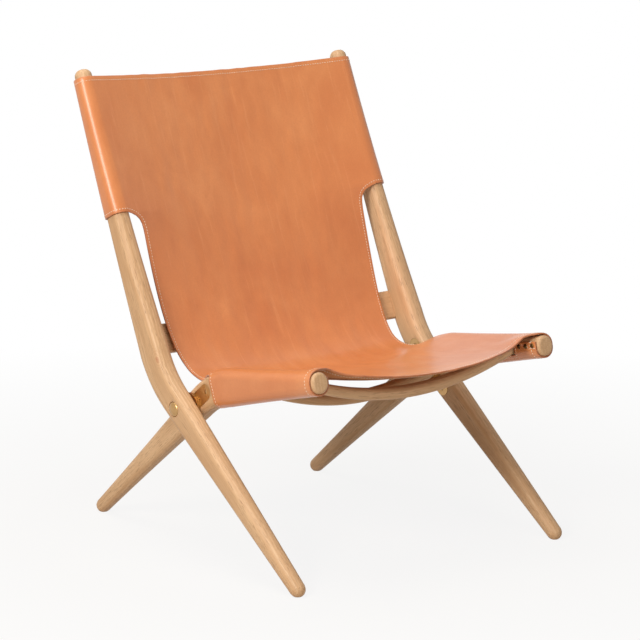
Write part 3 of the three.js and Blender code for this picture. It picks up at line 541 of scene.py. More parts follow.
def store(piece, name, kind, key, values):
    attribute = piece.data.attributes.new(name, kind, "POINT")
    attribute.data.foreach_set(key, values.astype(np.float32).ravel())


def points_of(piece):
    values = np.zeros(len(piece.data.vertices) * 3, np.float32)
    piece.data.vertices.foreach_get("co", values)
    return values.reshape(-1, 3).astype(float) / MM


def finish_oak(piece, body, node_name, along, across, up, shift):
    """Stores where each point lies across, up and along the grain, in metres. Then dresses it."""
    columns = [v + shift * step for v, step in zip((across, up, along), GRAIN_SHIFTS)]
    store(piece, "grain", "FLOAT_VECTOR", "vector", np.column_stack(columns) * MM)
    dress(piece, OAK, body, node_name)


def paint(piece, *made_of):
    piece.data.materials.clear()
    for each in made_of:
        piece.data.materials.append(each)


def dress(piece, made_of, body, node_name):
    paint(piece, made_of)
    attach(piece, body)
    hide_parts(node_name)


def make_member_piece(name, member, side, cutters, body, shift):
    piece = member_body(name + "_oak", member, side)
    cut(piece, [floor_cutter(), *cutters])
    soften(piece, EDGE_SOFTNESS)
    points = points_of(piece)
    along, up = stations_of(member, points)
    finish_oak(piece, body, name, along, side * points[:, 0] - member.x, up, shift)


def make_back_rail():
    height, thickness = BACK_RAIL_SIZE
    inner = UPRIGHT_INNER_X
    end = inner + BACK_RAIL_REBATE - LET_IN_GAP
    centre = -BACK_RAIL_SETBACK - thickness / 2
    rings = []
    for x in [-end, *np.linspace(-inner, inner, BACK_RAIL_RINGS), end]:
        share = min(abs(x) / inner, 1)
        up = centre - BACK_RAIL_BOW * (1 - share * share)
        rings.append(rounded_ring(
            height / 2, thickness / 2, BACK_RAIL_EDGE_RADIUS,
            lambda on, rise: place(UPRIGHT, BACK_RAIL_STATION, x, up + rise, on),
            BACK_RAIL_CORNER_STEPS))
    piece = to_object("back_rail_oak", *loft(rings))
    soften(piece, EDGE_SOFTNESS)
    points = points_of(piece)
    along, up = stations_of(UPRIGHT, points)
    finish_oak(piece, "back_frame", "back_rail", points[:, 0], up, along, BACK_RAIL_SHIFT)


def make_bow_rail(name, station, sag, shift):
    y, z, _ = line_at(SEAT_SIDE, station)
    end = SEAT_INNER_X - LET_IN_GAP
    rings = []
    for share in np.linspace(-1, 1, BOW_RINGS):
        low = z - sag * (1 - share * share)
        rings.append(rounded_ring(
            BOW_SIZE[0] / 2, BOW_SIZE[1] / 2, BOW_CORNER_RADIUS,
            lambda across, up: np.array((end * share, y + across, low + up))))
    piece = to_object(name + "_oak", *loft(rings))
    points = points_of(piece)
    height = points[:, 2] - (z - sag * (1 - (points[:, 0] / end) ** 2))
    finish_oak(piece, "seat_frame", name, points[:, 0], points[:, 1] - y, height, shift)


# Brass


def make_turned(node_name, part, origin, direction, before=()):
    """A part of the table TURNED, named after its node, with further points before its profile."""
    sides, profile, (radius, base, rise, steps) = TURNED[part]
    angles = [QUARTER * i / steps for i in range(1, steps + 1)]
    dome = [(max(radius * math.cos(a), TIP_RADIUS), base + rise * math.sin(a)) for a in angles]
    return turned(node_name + "_brass", [*before, *profile, *dome], origin, direction, sides)


def make_pivot_part(name, part, x, way):
    piece = make_turned(name, part, (x, PIVOT_Y, PIVOT_HEIGHT), (way, 0, 0))
    soften(piece, TURNED_SOFTNESS)
    dress(piece, BRASS, "back_frame", name)


def make_screw(name, body, origin, direction, length):
    """A countersunk screw with one slot across its head."""
    piece = make_turned(name, "screw", origin, direction, [(SCREW_SHANK_RADIUS, -length)])
    turn = Vector(direction).to_track_quat("Z", "Y")
    outline = oblong((-SLOT_HALF_WIDTH, SLOT_HALF_WIDTH), (-SLOT_HALF_LENGTH, SLOT_HALF_LENGTH))
    slot = prism(outline, (-SLOT_DEPTH, SLOT_CUT_TOP),
                 lambda x, y, z: np.array(origin) + np.array(turn @ Vector((x, y, z))))
    cut(piece, [slot])
    shade(piece, SCREW_SHARP_DEG)
    dress(piece, BRASS, body, name)


def make_screws(name, side):
    plates = (("upright_plate", "back_frame", UPRIGHT_INNER_X, -1, UPRIGHT_PLATE_ANGLE),
              ("seat_plate", "seat_frame", SEAT_OUTER_X, 1, SEAT_PLATE_ANGLE))
    for plate, body, face, rises, angle in plates:
        for i, end in enumerate((-PLATE_REACH, PLATE_REACH), 1):
            y, z = PIVOT_Y + end * math.cos(angle), PIVOT_HEIGHT + end * math.sin(angle)
            make_screw(f"{name}_{plate}_screw_{i}", body, (side * face, y, z),
                       (side * rises, 0, 0), PLATE_SCREW_LENGTH)
    rear = -BACK_RAIL_SETBACK - BACK_RAIL_SIZE[1]
    x = side * (UPRIGHT_INNER_X + BACK_RAIL_REBATE / 2)
    for i, on in enumerate((-RAIL_SCREW_SPACING / 2, RAIL_SCREW_SPACING / 2), 1):
        origin = place(UPRIGHT, BACK_RAIL_STATION, x, rear, on)
        direction = place(UPRIGHT, BACK_RAIL_STATION, x, rear - 1, on) - origin
        make_screw(f"{name}_back_rail_screw_{i}", "back_frame", origin, direction,
                   RAIL_SCREW_LENGTH)


def make_studs(name, side):
    rows = (("back", "back_frame", UPRIGHT, BACK_START, BACK_END),
            ("seat", "seat_frame", SEAT_SIDE, SEAT_START, SEAT_END))
    insets = [STUD_EDGE_DISTANCE + i * STUD_PITCH for i in range(STUD_COUNT)]
    for part, body, member, start, end in rows:
        stations = [station for inset in insets for station in (start + inset, end - inset)]
        for i, station in enumerate(stations, 1):
            inner = member.x - section_at(member, station)[1]
            x = side * (inner - LEATHER_EASE - LEATHER_THICKNESS - STUD_LIFT)
            origin = place(member, station, x, STUD_HEIGHT)
            node_name = f"{name}_{part}_stud_{i}"
            piece = make_turned(node_name, "stud", origin, (-side, 0, 0))
            dress(piece, ANTIQUE, body, node_name)


# Sling


def curve_through(start, middle, end, share):
    """The value at a share of a curve through three values at its start, middle and end."""
    left, past = 1 - share, 2 * share - 1
    return middle * 4 * share * left + end * share * past - start * left * past


BACK = SimpleNamespace(
    member=UPRIGHT, start=BACK_START, end=BACK_END, flap=BACK_FLAP, steps=9,
    sag=lambda share: lerp(*BACK_SAGS, share))
SEAT = SimpleNamespace(
    member=SEAT_SIDE, start=SEAT_START, end=SEAT_END, flap=SEAT_FLAP, steps=12,
    sag=lambda share: curve_through(*SEAT_SAGS, share))


def span_at(sling, station):
    """Where a sling's free span leaves its member at a station, and how it sags."""
    depth, thickness, corner = section_at(sling.member, station)
    sag = sling.sag(clamp((station - sling.start) / (sling.end - sling.start)))
    wrap = corner + LEATHER_EASE + LEATHER_THICKNESS / 2
    corner_x, corner_up = thickness - corner, depth - corner
    tilt = 0.0
    for _ in range(TILT_ROUNDS):
        edge = sling.member.x - corner_x - wrap * math.sin(tilt)
        tilt = math.atan(2 * sag / edge)
    return SimpleNamespace(sag=sag, wrap=wrap, corner_x=corner_x, corner_up=corner_up, tilt=tilt,
                           edge=edge, top=corner_up + wrap * math.cos(tilt))


def span_height(span, x):
    return span.top - span.sag * (1 - (x / span.edge) ** 2)


def wrap_path(sling, station):
    """The leather's middle line round a member, from where the span meets it to the flap's end."""
    span = span_at(sling, station)
    corners = ((-1, 1, QUARTER + span.tilt, QUARTER, TILT_STEPS), (1, 1, QUARTER, 0, sling.steps),
               (1, -1, 0, -QUARTER, sling.steps), (-1, -1, -QUARTER, -2 * QUARTER, sling.steps))
    path = []
    for right, up, start, end, count in corners:
        for i in range(count + 1):
            angle = lerp(start, end, i / count)
            path.append((sling.member.x + right * span.corner_x + span.wrap * math.cos(angle),
                         up * span.corner_up + span.wrap * math.sin(angle)))
    path.append((sling.member.x - span.corner_x - span.wrap, sling.flap))
    return np.array(path)


def steps_of(path):
    return np.linalg.norm(np.diff(path, axis=0), axis=1)


def length_of(path):
    return float(steps_of(path).sum())


def distances_in(path):
    return np.concatenate(([0], np.cumsum(steps_of(path))))


def sample(distances, values, spots):
    return np.stack([np.interp(spots, distances, column) for column in values.T], axis=-1)


def along_path(path, count):
    """Points at equal distances along a path of points."""
    return sample(distances_in(path), path, np.linspace(0, length_of(path), count))


def waist_line(back_x, seat_x, handles, share):
    """A point of the waist's curve, from an X on the back's lower edge to one on the seat's rear
    edge. The curve's handles lie in the chair's middle plane."""
    a, d = (place(sling.member, sling.start, 0, span_height(span_at(sling, sling.start), x))
            for sling, x in ((BACK, back_x), (SEAT, seat_x)))
    reach = np.linalg.norm(a - d)
    b = a + np.array((0, *handles[0])) * reach
    c = d + np.array((0, *handles[1])) * reach
    left = 1 - share
    return (left ** 3 * a + 3 * left * left * share * b + 3 * left * share * share * c
            + share ** 3 * d)


def near_front(station, reach):
    return smooth((station - SEAT_END + reach) / reach)


def front_shift(x, station):
    """How far the seat's front edge runs on, or falls short where the sum is negative."""
    span = span_at(SEAT, station)
    nose = SEAT_NOSE * max(1 - (x / span.edge) ** 2, 0)
    beside = abs(x) - SEAT_DIP_X
    dip = SEAT_DIP * math.exp(-(beside / SEAT_DIP_REACHES[int(beside > 0)]) ** 2)
    return (nose - dip) * near_front(station, SEAT_SHIFT_FADE)


def front_lift(x, station):
    """How far the stiff leather stands off beside the rail at its front edge."""
    lift = SEAT_LIFT * math.exp(-((abs(x) - SEAT_LIFT_X) / SEAT_LIFT_REACH) ** 2)
    return lift * near_front(station, SEAT_LIFT_FADE)


def cut_out_half_width(share, below_back, station):
    """Half of the waist's width, with the cut-out's rounded ends."""
    width = lerp(*CUT_OUT_HALF_WIDTHS, smooth(share * CUT_OUT_NARROWING))
    width += UPPER_FLARE * math.exp(-below_back / UPPER_FLARE_REACH)
    lower = clamp((station - LOWER_FLARE_STATION) / LOWER_FLARE_REACH)
    return width + LOWER_FLARE * lower ** LOWER_FLARE_POWER


# Rows of the sling from its top edge to its front edge. Each row has a middle part from the centre
# to where the sleeve begins, and where there is a sleeve the path round the member.


def back_row(station):
    span = span_at(BACK, station)
    xs = np.linspace(0, span.edge, SPAN_POINTS)
    middle = [place(UPRIGHT, station, x, span_height(span, x)) for x in xs]
    sleeve = [place(UPRIGHT, station, x, up) for x, up in wrap_path(BACK, station)]
    return np.array(middle), np.array(sleeve)


def seat_path(station, start, count):
    """A section of the seat's leather from an X outwards, with the path round the member."""
    span = span_at(SEAT, station)
    free = [(x, span_height(span, x)) for x in np.linspace(start, span.edge, count)]
    return np.vstack((free, wrap_path(SEAT, station)[1:]))


def seat_row(station):
    path = seat_path(station, 0, SPAN_POINTS)
    split = int(np.argmax(path[:, 0] >= SEAT_SPLIT_X))
    before, after = path[split - 1], path[split]
    turn = before + (after - before) * (SEAT_SPLIT_X - before[0]) / (after[0] - before[0])
    middle = [place(SEAT_SIDE, station, x, up + front_lift(x, station), front_shift(x, station))
              for x, up in np.vstack((path[:split], turn))]
    sleeve = [place(SEAT_SIDE, station, x, up) for x, up in np.vstack((turn, path[split:]))]
    return np.array(middle), np.array(sleeve)


def waist_row(share):
    middle = waist_line(0, 0, WAIST_MIDDLE_HANDLES, share)
    edge = waist_line(*WAIST_HALF_WIDTHS, WAIST_EDGE_HANDLES, share)
    half = lerp(*WAIST_HALF_WIDTHS, share)
    below = np.linalg.norm(edge - waist_line(*WAIST_HALF_WIDTHS, WAIST_EDGE_HANDLES, 0))
    station = FAR_STATION
    if share > LOWER_WAIST_SHARE:
        station, _ = station_of(SEAT_SIDE, edge)
    points = []
    for x in np.linspace(0, cut_out_half_width(share, below, station), SPAN_POINTS):
        point = middle + (edge - middle) * (x / half) ** 2
        if station > LOWER_FLARE_STATION and x > half:
            point = over_rail(edge, station, x, half)
        point[0] = x
        points.append(point)
    return np.array(points), None


def over_rail(edge, station, x, half):
    """The leather beyond the waist's edge, which comes to lie on the seat side's top."""
    path = seat_path(station, half - ON_RAIL_OVERLAP, ON_RAIL_POINTS)
    top = int(np.argmax(path[:, 0]))
    base, height = (np.interp(v, path[:top, 0], path[:top, 1]) for v in (half, x))
    _, edge_up = station_of(SEAT_SIDE, edge)
    lift = (edge_up - base) * (1 - smooth((x - half) / ON_RAIL_REACH))
    return place(SEAT_SIDE, station, x, height + lift)


def sling_rows():
    back_stations = np.linspace(BACK_END, BACK_START, BACK_ROWS)
    shares = (*FIRST_WAIST_SHARES, *np.linspace(*WAIST_SHARES))
    return [*((*back_row(station), station) for station in back_stations),
            *((*waist_row(share), None) for share in shares),
            *((*seat_row(station), station) for station in seat_stations())]


def seat_stations():
    """The stations of the seat's rows, with a row close to each side of each bow rail."""
    reach = BOW_SIZE[0] / 2 + BOW_ROW_GAP
    beside = [spot + way * reach for spot in sorted(BOW_STATIONS.values()) for way in (-1, 1)]
    fixed = [SEAT_START, *beside, SEAT_END]
    stations = []
    for start, end in zip(fixed, fixed[1:]):
        count = max(round((end - start) / SEAT_ROW_PITCH), 1)
        stations += list(np.linspace(start, end, count + 1)[:-1])
    return [*stations, SEAT_END]


def sling_grid():
    """The leather's middle surface: points, faces, points' numbers by row and column, and rows."""
    points, faces, index = [], [], {}
    rows = sling_rows()

    def add(row, column, point):
        index[row, column] = len(points)
        points.append(point)

    for r, (middle, sleeve, _) in enumerate(rows):
        whole = along_path(middle, MIDDLE_COLUMNS + 1)
        if sleeve is not None:
            whole = np.vstack((whole, along_path(sleeve, SLEEVE_COLUMNS + 1)[1:]))
        for c, point in enumerate(whole):
            add(r, c, point)
            if c:
                add(r, -c, point * (-1, 1, 1))
    reach = MIDDLE_COLUMNS + SLEEVE_COLUMNS
    for r in range(len(rows) - 1):
        for c in range(-reach, reach):
            corners = [(r, c), (r, c + 1), (r + 1, c + 1), (r + 1, c)]
            if all(k in index for k in corners) and not in_notch(rows, points, index, corners):
                faces.append(tuple(index[k] for k in corners))
    return np.array(points), faces, index, rows


def in_notch(rows, points, index, corners):
    """Whether a face of the seat's flap lies in the notch round a bow rail's end."""
    in_waist = any(rows[r][2] is None for r, _ in corners)
    if in_waist or corners[0][0] < BACK_ROWS or min(abs(c) for _, c in corners) <= MIDDLE_COLUMNS:
        return False
    middle = np.mean([points[index[k]] for k in corners], axis=0)
    along, up = station_of(SEAT_SIDE, middle)
    near = min(abs(along - spot) for spot in BOW_STATIONS.values())
    return (abs(middle[0]) <= SEAT_SIDE_X - NOTCH_FLAP and near < BOW_SIZE[0] / 2 + NOTCH_GAP
            and up > -BOW_SIZE[1] / 2 - NOTCH_DROP)


def sides_of(face):
    return zip(face, face[1:] + face[:1])


def edge_lines(faces):
    """The boundary of the surface as closed lines of point numbers."""
    found = {side: None for face in faces for side in sides_of(face)}
    onward_of = {a: b for a, b in found if (b, a) not in found}
    lines = []
    while onward_of:
        start = next(iter(onward_of))
        line, at = [start], onward_of.pop(start)
        while at != start:
            line.append(at)
            at = onward_of.pop(at)
        lines.append(line)
    return lines


def relax(points, faces, index, rows):
    """Fairs the waist between the sleeves, and keeps its edges and what lies on the members."""
    near = {}
    for face in faces:
        for a, b in sides_of(face):
            near.setdefault(a, set()).add(b)
            near.setdefault(b, set()).add(a)
    above, below = KEPT_ROWS
    free = [i for (r, c), i in index.items() if above < r < len(rows) - below
            and abs(c) < MIDDLE_COLUMNS - KEPT_COLUMNS and len(near[i]) == 4]
    table = np.array([sorted(near[i]) for i in free])
    for _ in range(RELAX_ROUNDS):
        points[free] += RELAX_SHARE * (points[table].mean(axis=1) - points[free])
    return points


def ripple(points):
    """Small dents and waves where the leather hangs free."""
    rng = np.random.default_rng(RIPPLE_SEED)
    waves = [(rng.uniform(*RIPPLE_LENGTHS), rng.uniform(0, 2 * math.pi), rng.uniform(-1, 1),
              rng.uniform(0, RIPPLE_LAST_PHASE)) for _ in range(RIPPLE_COUNT)]
    for point in points:
        x, y, z = point
        along = z + RIPPLE_SLOPE * y
        free = smooth(1 - (abs(x) - RIPPLE_HALF_WIDTH) / RIPPLE_FADE)
        size = 0
        for length, phase, lean, other in waves:
            turn = 2 * math.pi * (x + lean * along * 0.5) / length
            size += RIPPLE_ACROSS * math.sin(turn + phase)
            turn = 2 * math.pi * (along + lean * x) / (2 * length)
            size += RIPPLE_ALONG * math.sin(turn + other)
        point += free * size * RIPPLE_WAY
    return points


def make_sling():
    points, faces, index, rows = sling_grid()
    points = ripple(relax(points, faces, index, rows))
    surface = to_object("sling", points, faces)
    lines = edge_lines(faces)
    set_edge_distance(surface, points, lines)
    area = sum(p.area for p in surface.data.polygons)
    paint(surface, LEATHER, FLESH, CUT_EDGE)
    add_modifier(surface, "SOLIDIFY", thickness=LEATHER_THICKNESS * MM, offset=0,
                 use_even_offset=True, use_quality_normals=True, material_offset=1,
                 material_offset_rim=2)
    apply_modifiers(surface)
    soften(surface, LEATHER_EDGE_SOFTNESS, LEATHER_SOFTENED_DEG)
    return surface, make_stitching(points, faces, lines), area


def set_edge_distance(surface, points, lines):
    """Stores each point's distance from the hide's edge, in metres."""
    edge_points = points[[i for line in lines for i in line]]
    gaps = []
    for start in range(0, len(points), DISTANCE_BATCH):
        apart = points[start:start + DISTANCE_BATCH, None] - edge_points[None]
        gaps.append(np.sqrt((apart ** 2).sum(axis=2)).min(axis=1))
    store(surface, "edge_distance", "FLOAT", "value", np.concatenate(gaps) * MM)


# Stitching


def stitch_body():
    """A short thread lying along X, raised over Z = 0, whose ends dip into the leather."""
    angles = [2 * math.pi * i / STITCH_SIDES for i in range(STITCH_SIDES)]
    return loft([[(x, STITCH_HALF_WIDTH * size * math.cos(a),
                   STITCH_HALF_HEIGHT * (size * math.sin(a) - STITCH_END_DIP * (1 - size)))
                  for a in angles] for x, size in STITCH_SECTIONS])


def seam_beside(line, tree):
    """The line of stitches beside an edge line: points on the leather and the normals there."""
    closed = np.vstack((line, line[:1]))
    dense = along_path(closed, int(length_of(closed) / SEAM_STEP))
    places, normals = [], []
    for i in range(len(dense) - 1):
        here = Vector(dense[i])
        way = (Vector(dense[(i + 1) % (len(dense) - 1)]) - Vector(dense[i - 1])).normalized()
        inward = tree.find_nearest(here)[1].cross(way).normalized() * edge_inset(dense[i])
        found = [tree.find_nearest(here + inward), tree.find_nearest(here - inward)]
        spot, normal, _, _ = min(found, key=lambda each: each[3])
        places.append(spot)
        normals.append(normal)
    return np.array(places), np.array(normals)


def edge_inset(point):
    """How far the stitching lies from the hide's edge at a point of it."""
    x, y, z = point
    if y < FRONT_SEAM_Y:
        return FRONT_SEAM_INSET
    if z > TOP_SEAM_HEIGHT:
        return TOP_SEAM_INSET
    return lerp(*SIDE_SEAM_INSETS, smooth((SIDE_SEAM_X - abs(x)) / SIDE_SEAM_FADE))


def make_stitching(points, faces, lines):
    """A row of stitches beside each edge line, on both faces of the leather."""
    tree = BVHTree.FromPolygons([tuple(p) for p in points], faces)
    shape, shape_faces = stitch_body()
    all_points, all_faces = [], []
    for line in lines:
        path, normals = seam_beside(points[line], tree)
        distances = distances_in(path)
        whole = distances[-1]
        count = int(whole / STITCH_PITCH)
        for i in range(count):
            at = whole * (i + 0.5) / count
            here, ahead, behind = (sample(distances, path, spot) for spot in (
                at, min(at + STITCH_HALF_LENGTH, whole), max(at - STITCH_HALF_LENGTH, 0)))
            along = ahead - behind
            off_surface = tree.find_nearest(Vector(here))[3]
            if np.linalg.norm(along) < STITCH_HALF_LENGTH or off_surface > STITCH_REACH:
                continue
            along /= np.linalg.norm(along)
            normal = sample(distances, normals, at)
            normal -= along * normal.dot(along)
            normal /= np.linalg.norm(normal)
            for face in (1, -1):
                add_stitch(all_points, all_faces, shape, shape_faces, here, along, face * normal)
    piece = to_object("sling_stitching", all_points, all_faces)
    paint(piece, THREAD)
    return piece


def add_stitch(points, faces, shape, shape_faces, here, along, normal):
    across = np.cross(normal, along)
    base = len(points)
    lift = LEATHER_THICKNESS / 2 + STITCH_LIFT
    points.extend(here + along * x + across * y + normal * (z + lift) for x, y, z in shape)
    faces.extend(tuple(base + i for i in face) for face in shape_faces)


# Materials


def material(name, values=()):
    made = bpy.data.materials.new(name)
    made.use_nodes = True
    made.node_tree.nodes.clear()
    shader = node(made.node_tree, "BsdfPrincipled", values)
    node(shader, "OutputMaterial", {0: shader.outputs[0]})
    return made, shader


def connect(socket, value):
    """Leads another node's output into a socket, or sets a plain value there."""
    if isinstance(value, bpy.types.NodeSocket):
        socket.id_data.links.new(value, socket)
    else:
        socket.default_value = value


def node(beside, kind, values=(), **settings):
    """A new node in the tree of another node or socket, or in the tree itself."""
    made = set_all(beside.id_data.nodes.new("ShaderNode" + kind), **settings)
    for key, value in dict(values).items():
        connect(made.inputs[key], value)
    return made


def object_space(beside):
    return node(beside, "TexCoord").outputs["Object"]


def srgb(*colour):
    return (*Color([value / 255 for value in colour]).from_srgb_to_scene_linear(), 1.0)


def ramp(factor, *stops):
    """Colours by a factor. Each stop is a place and the colour there."""
    made = node(factor, "ValToRGB", {"Fac": factor})
    elements = made.color_ramp.elements
    while len(elements) < len(stops):
        elements.new(0.5)
    for element, (place_at, colour) in zip(elements, stops):
        element.position = place_at
        element.color = srgb(*colour)
    return made.outputs["Color"]


def mix(factor, a, b):
    return node(factor, "Mix", {0: factor, 6: a, 7: b}, data_type="RGBA").outputs[2]


def tint(base, mask, low, high, share, colour):
    """Mixes a colour into the base where a mask goes from low to high, by a share at most."""
    return mix(spread(mask, low, high, 0.0, share), base, srgb(*colour))


def noise(vector, scale, detail=3.0, roughness=0.5, distortion=0.0):
    """Noise of one scale, or of a scale along each axis."""
    if isinstance(scale, tuple):
        vector, scale = scaled(vector, scale), 1.0
    made = node(vector, "TexNoise", {"Vector": vector, "Scale": scale, "Detail": detail,
                                     "Roughness": roughness, "Distortion": distortion})
    return made.outputs["Fac"]


def scaled(vector, scale):
    return node(vector, "Mapping", {"Vector": vector, "Scale": scale}).outputs["Vector"]


def maths(operation, a, b=0.0):
    return node(a, "Math", {0: a, 1: b}, operation=operation).outputs[0]


def spread(value, low, high, to_low=0.0, to_high=1.0):
    return node(value, "MapRange", {0: value, 1: low, 2: high, 3: to_low, 4: to_high}).outputs[0]


def finish_shader(shader, base, roughness, height, strength, distance):
    """Leads in the colour and roughness, and a bump of a height's strength and distance."""
    raised = node(shader, "Bump", {"Height": height, "Strength": strength, "Distance": distance})
    connect(shader.inputs["Base Color"], base)
    connect(shader.inputs["Roughness"], roughness)
    connect(shader.inputs["Normal"], raised.outputs[0])


def shifted(vector, push):
    return node(vector, "VectorMath", {0: vector, 1: push}, operation="ADD").outputs[0]


def length_from(vector):
    return node(vector, "VectorMath", {0: vector}, operation="LENGTH").outputs["Value"]


def oak_material():
    """Pale soaped oak: soft year rings, fibre streaks and short dark pores along the grain."""
    made, shader = material("oak")
    grain = node(shader, "Attribute", attribute_name="grain").outputs["Vector"]
    drift = noise(grain, (10, 10, 2.4), 2.0)
    push = node(grain, "CombineXYZ", {
        "X": spread(drift, 0, 1, -0.010, 0.010), "Y": spread(drift, 0, 1, 0.007, -0.007)})
    bent = shifted(grain, push.outputs[0])
    rings = node(grain, "TexWave", {
        "Vector": scaled(bent, (1, 0.5, 0.05)), "Scale": 52.0, "Distortion": 2.2, "Detail": 3.0,
        "Detail Scale": 2.0, "Detail Roughness": 0.6}, wave_type="BANDS", bands_direction="X",
        wave_profile="SIN").outputs["Fac"]
    fibres = noise(bent, (420, 420, 8), 4.0, 0.62)
    streaks = noise(bent, (130, 130, 5), 3.0, 0.55)
    pores = noise(grain, (1300, 1300, 50), 1.0)
    broad = noise(grain, (16, 16, 4), 2.0)
    in_rings = spread(rings, 0.0, 0.7, 0.25, 1.0)
    pore_share = maths("MULTIPLY", spread(pores, 0.58, 0.7), in_rings)
    base = ramp(rings, (0.0, (201, 159, 116)), (0.45, (210, 170, 127)), (1.0, (217, 179, 137)))
    base = tint(base, streaks, 0.4, 0.7, 0.5, (203, 160, 117))
    base = tint(base, fibres, 0.42, 0.72, 0.6, (182, 138, 96))
    base = tint(base, broad, 0.4, 0.7, 0.35, (220, 183, 143))
    base = tint(base, pore_share, 0, 1, 0.75, (138, 96, 62))
    base = add_knot(grain, base)
    height = maths("SUBTRACT", maths("MULTIPLY", fibres, 0.35), pore_share)
    finish_shader(shader, base, spread(fibres, 0.3, 0.7, 0.48, 0.62), height, 0.3, 0.0004)
    return made


def add_knot(grain, base):
    """A small reddish knot with a few rings round it, in the left upright's elbow."""
    away = length_from(scaled(shifted(grain, tuple(-v for v in KNOT)), (1, 1, 0.55)))
    reach = maths("ADD", away, spread(noise(grain, 160.0, 2.0), 0, 1, -0.002, 0.002))
    rings = spread(maths("SINE", maths("MULTIPLY", reach, 2200.0)), 0, 1, 0.0, 0.4)
    rings = maths("MULTIPLY", rings, spread(reach, 0.003, 0.016, 1.0, 0.0))
    base = mix(rings, base, srgb(176, 124, 82))
    return mix(spread(reach, 0.001, 0.0045, 0.75, 0.0), base, srgb(164, 96, 60))


def leather_material():
    """Vegetable-tanned leather: mottled tan with fine lengthwise wrinkles and a satin finish."""
    made, shader = material("leather", {"Coat Weight": 0.4, "Coat Roughness": 0.26})
    where = object_space(shader)
    broad = noise(where, 5.5, 3.0, 0.55, 0.8)
    patches = noise(where, (18, 9, 9), 4.0, 0.62, 0.6)
    fine = noise(where, 380.0, 3.0, 0.55)
    streaks = noise(shifted(where, (0.3, 0, 0)), (150, 9, 9), 4.0, 0.6, 0.5)
    veins = noise(where, (62, 5, 5), 5.0, 0.7, 1.4)
    base = ramp(broad, (0.3, (206, 122, 66)), (0.5, (213, 131, 73)), (0.72, (221, 142, 84)))
    base = tint(base, patches, 0.42, 0.75, 0.5, (196, 112, 59))
    base = tint(base, streaks, 0.56, 0.78, 0.42, (230, 156, 100))
    base = tint(base, veins, 0.58, 0.8, 0.35, (188, 104, 60))
    base = tint(base, fine, 0.35, 0.7, 0.16, (176, 98, 56))
    edge = node(shader, "Attribute", attribute_name="edge_distance").outputs["Fac"]
    base = mix(spread(edge, 0.0, 0.004, 0.3, 0.0), base, srgb(172, 98, 56))
    pebbles = node(where, "TexVoronoi", {"Vector": where, "Scale": 900.0}).outputs["Distance"]
    wrinkles = noise(where, (110, 26, 26), 4.0, 0.65, 1.0)
    waves = noise(where, 26.0, 2.0)
    height = maths("MULTIPLY", pebbles, 0.15)
    height = maths("ADD", height, maths("MULTIPLY", wrinkles, 0.8))
    height = maths("ADD", height, maths("MULTIPLY", waves, 3.0))
    finish_shader(shader, base, spread(patches, 0.3, 0.75, 0.36, 0.48), height, 0.2, 0.001)
    return made


def flesh_material():
    """The hide's inner side, with a short matt nap."""
    made, shader = material("leather_flesh_side", {"Specular IOR Level": 0.2})
    where = object_space(shader)
    nap = noise(where, 700.0, 4.0, 0.7)
    broad = noise(where, 12.0, 3.0, 0.55)
    fibres = noise(where, (60, 22, 22), 5.0, 0.7, 1.5)
    base = ramp(broad, (0.3, (184, 118, 76)), (0.7, (200, 136, 92)))
    base = tint(base, fibres, 0.45, 0.75, 0.5, (214, 158, 114))
    base = tint(base, nap, 0.35, 0.7, 0.35, (160, 98, 62))
    finish_shader(shader, base, spread(nap, 0.3, 0.7, 0.78, 0.92),
                  maths("ADD", nap, fibres), 0.35, 0.0006)
    return made


def plain_material(name, scale, detail, roughness, colours, rough, strength, distance):
    """One noise that turns from one colour and roughness to another, and stands up as a bump."""
    made, shader = material(name)
    grain = noise(object_space(shader), scale, detail, roughness)
    base = ramp(grain, (0.3, colours[0]), (0.7, colours[1]))
    finish_shader(shader, base, spread(grain, 0.3, 0.7, *rough), grain, strength, distance)
    return made


def brass_material(name, dark, light, worn, rough):
    """Cast and turned brass with a slight tarnish and fine scratches."""
    made, shader = material(name, {"Metallic": 1.0})
    where = object_space(shader)
    tarnish = noise(where, 90.0, 4.0, 0.6)
    scratches = noise(where, (260, 1800, 1800), 2.0)
    base = ramp(tarnish, (0.3, dark), (0.7, light))
    base = tint(base, scratches, 0.6, 0.8, 0.35, worn)
    finish_shader(shader, base, spread(tarnish, 0.3, 0.75, *rough), scratches, 0.08, 0.0001)
    return made


OAK = oak_material()
LEATHER = leather_material()
FLESH = flesh_material()
CUT_EDGE = plain_material(
    "leather_cut_edge", 160.0, 3.0, 0.6, ((158, 92, 54), (190, 118, 74)), (0.3, 0.46), 0.2, 0.0003)
THREAD = plain_material(
    "waxed_thread", 1500.0, 2.0, 0.5, ((226, 208, 182), (246, 236, 218)), (0.5, 0.65), 0.3, 0.0002)
BRASS = brass_material("brass", (182, 142, 90), (198, 158, 110), (224, 190, 142), (0.24, 0.36))
ANTIQUE = brass_material("antique_brass", (72, 50, 28), (104, 76, 42), (178, 138, 82), (0.3, 0.45))


# The chair


def make_frames():
    for shift, (name, side) in enumerate(SIDES.items(), 1):
        seat_plate = plate_cutter(SEAT_PLATE_ANGLE, SEAT_OUTER_X, 1, side)
        make_member_piece(f"{name}_upright", UPRIGHT, side, upright_cutters(side), "back_frame",
                          shift)
        make_member_piece(f"{name}_seat_side", SEAT_SIDE, side, [seat_plate], "seat_frame",
                          shift + SEAT_SIDE_SHIFT)
        make_pivot_part(f"{name}_pivot_bolt", "bolt", side * UPRIGHT_OUTER_X, side)
        make_pivot_part(f"{name}_pivot_nut", "nut", side * (SEAT_INNER_X - WASHER_FACE), -side)
        make_screws(name, side)
        make_studs(name, side)
    make_back_rail()
    for shift, (name, station) in enumerate(BOW_STATIONS.items(), BOW_RAIL_SHIFT):
        make_bow_rail(name, station, BOW_SAGS[name], shift)


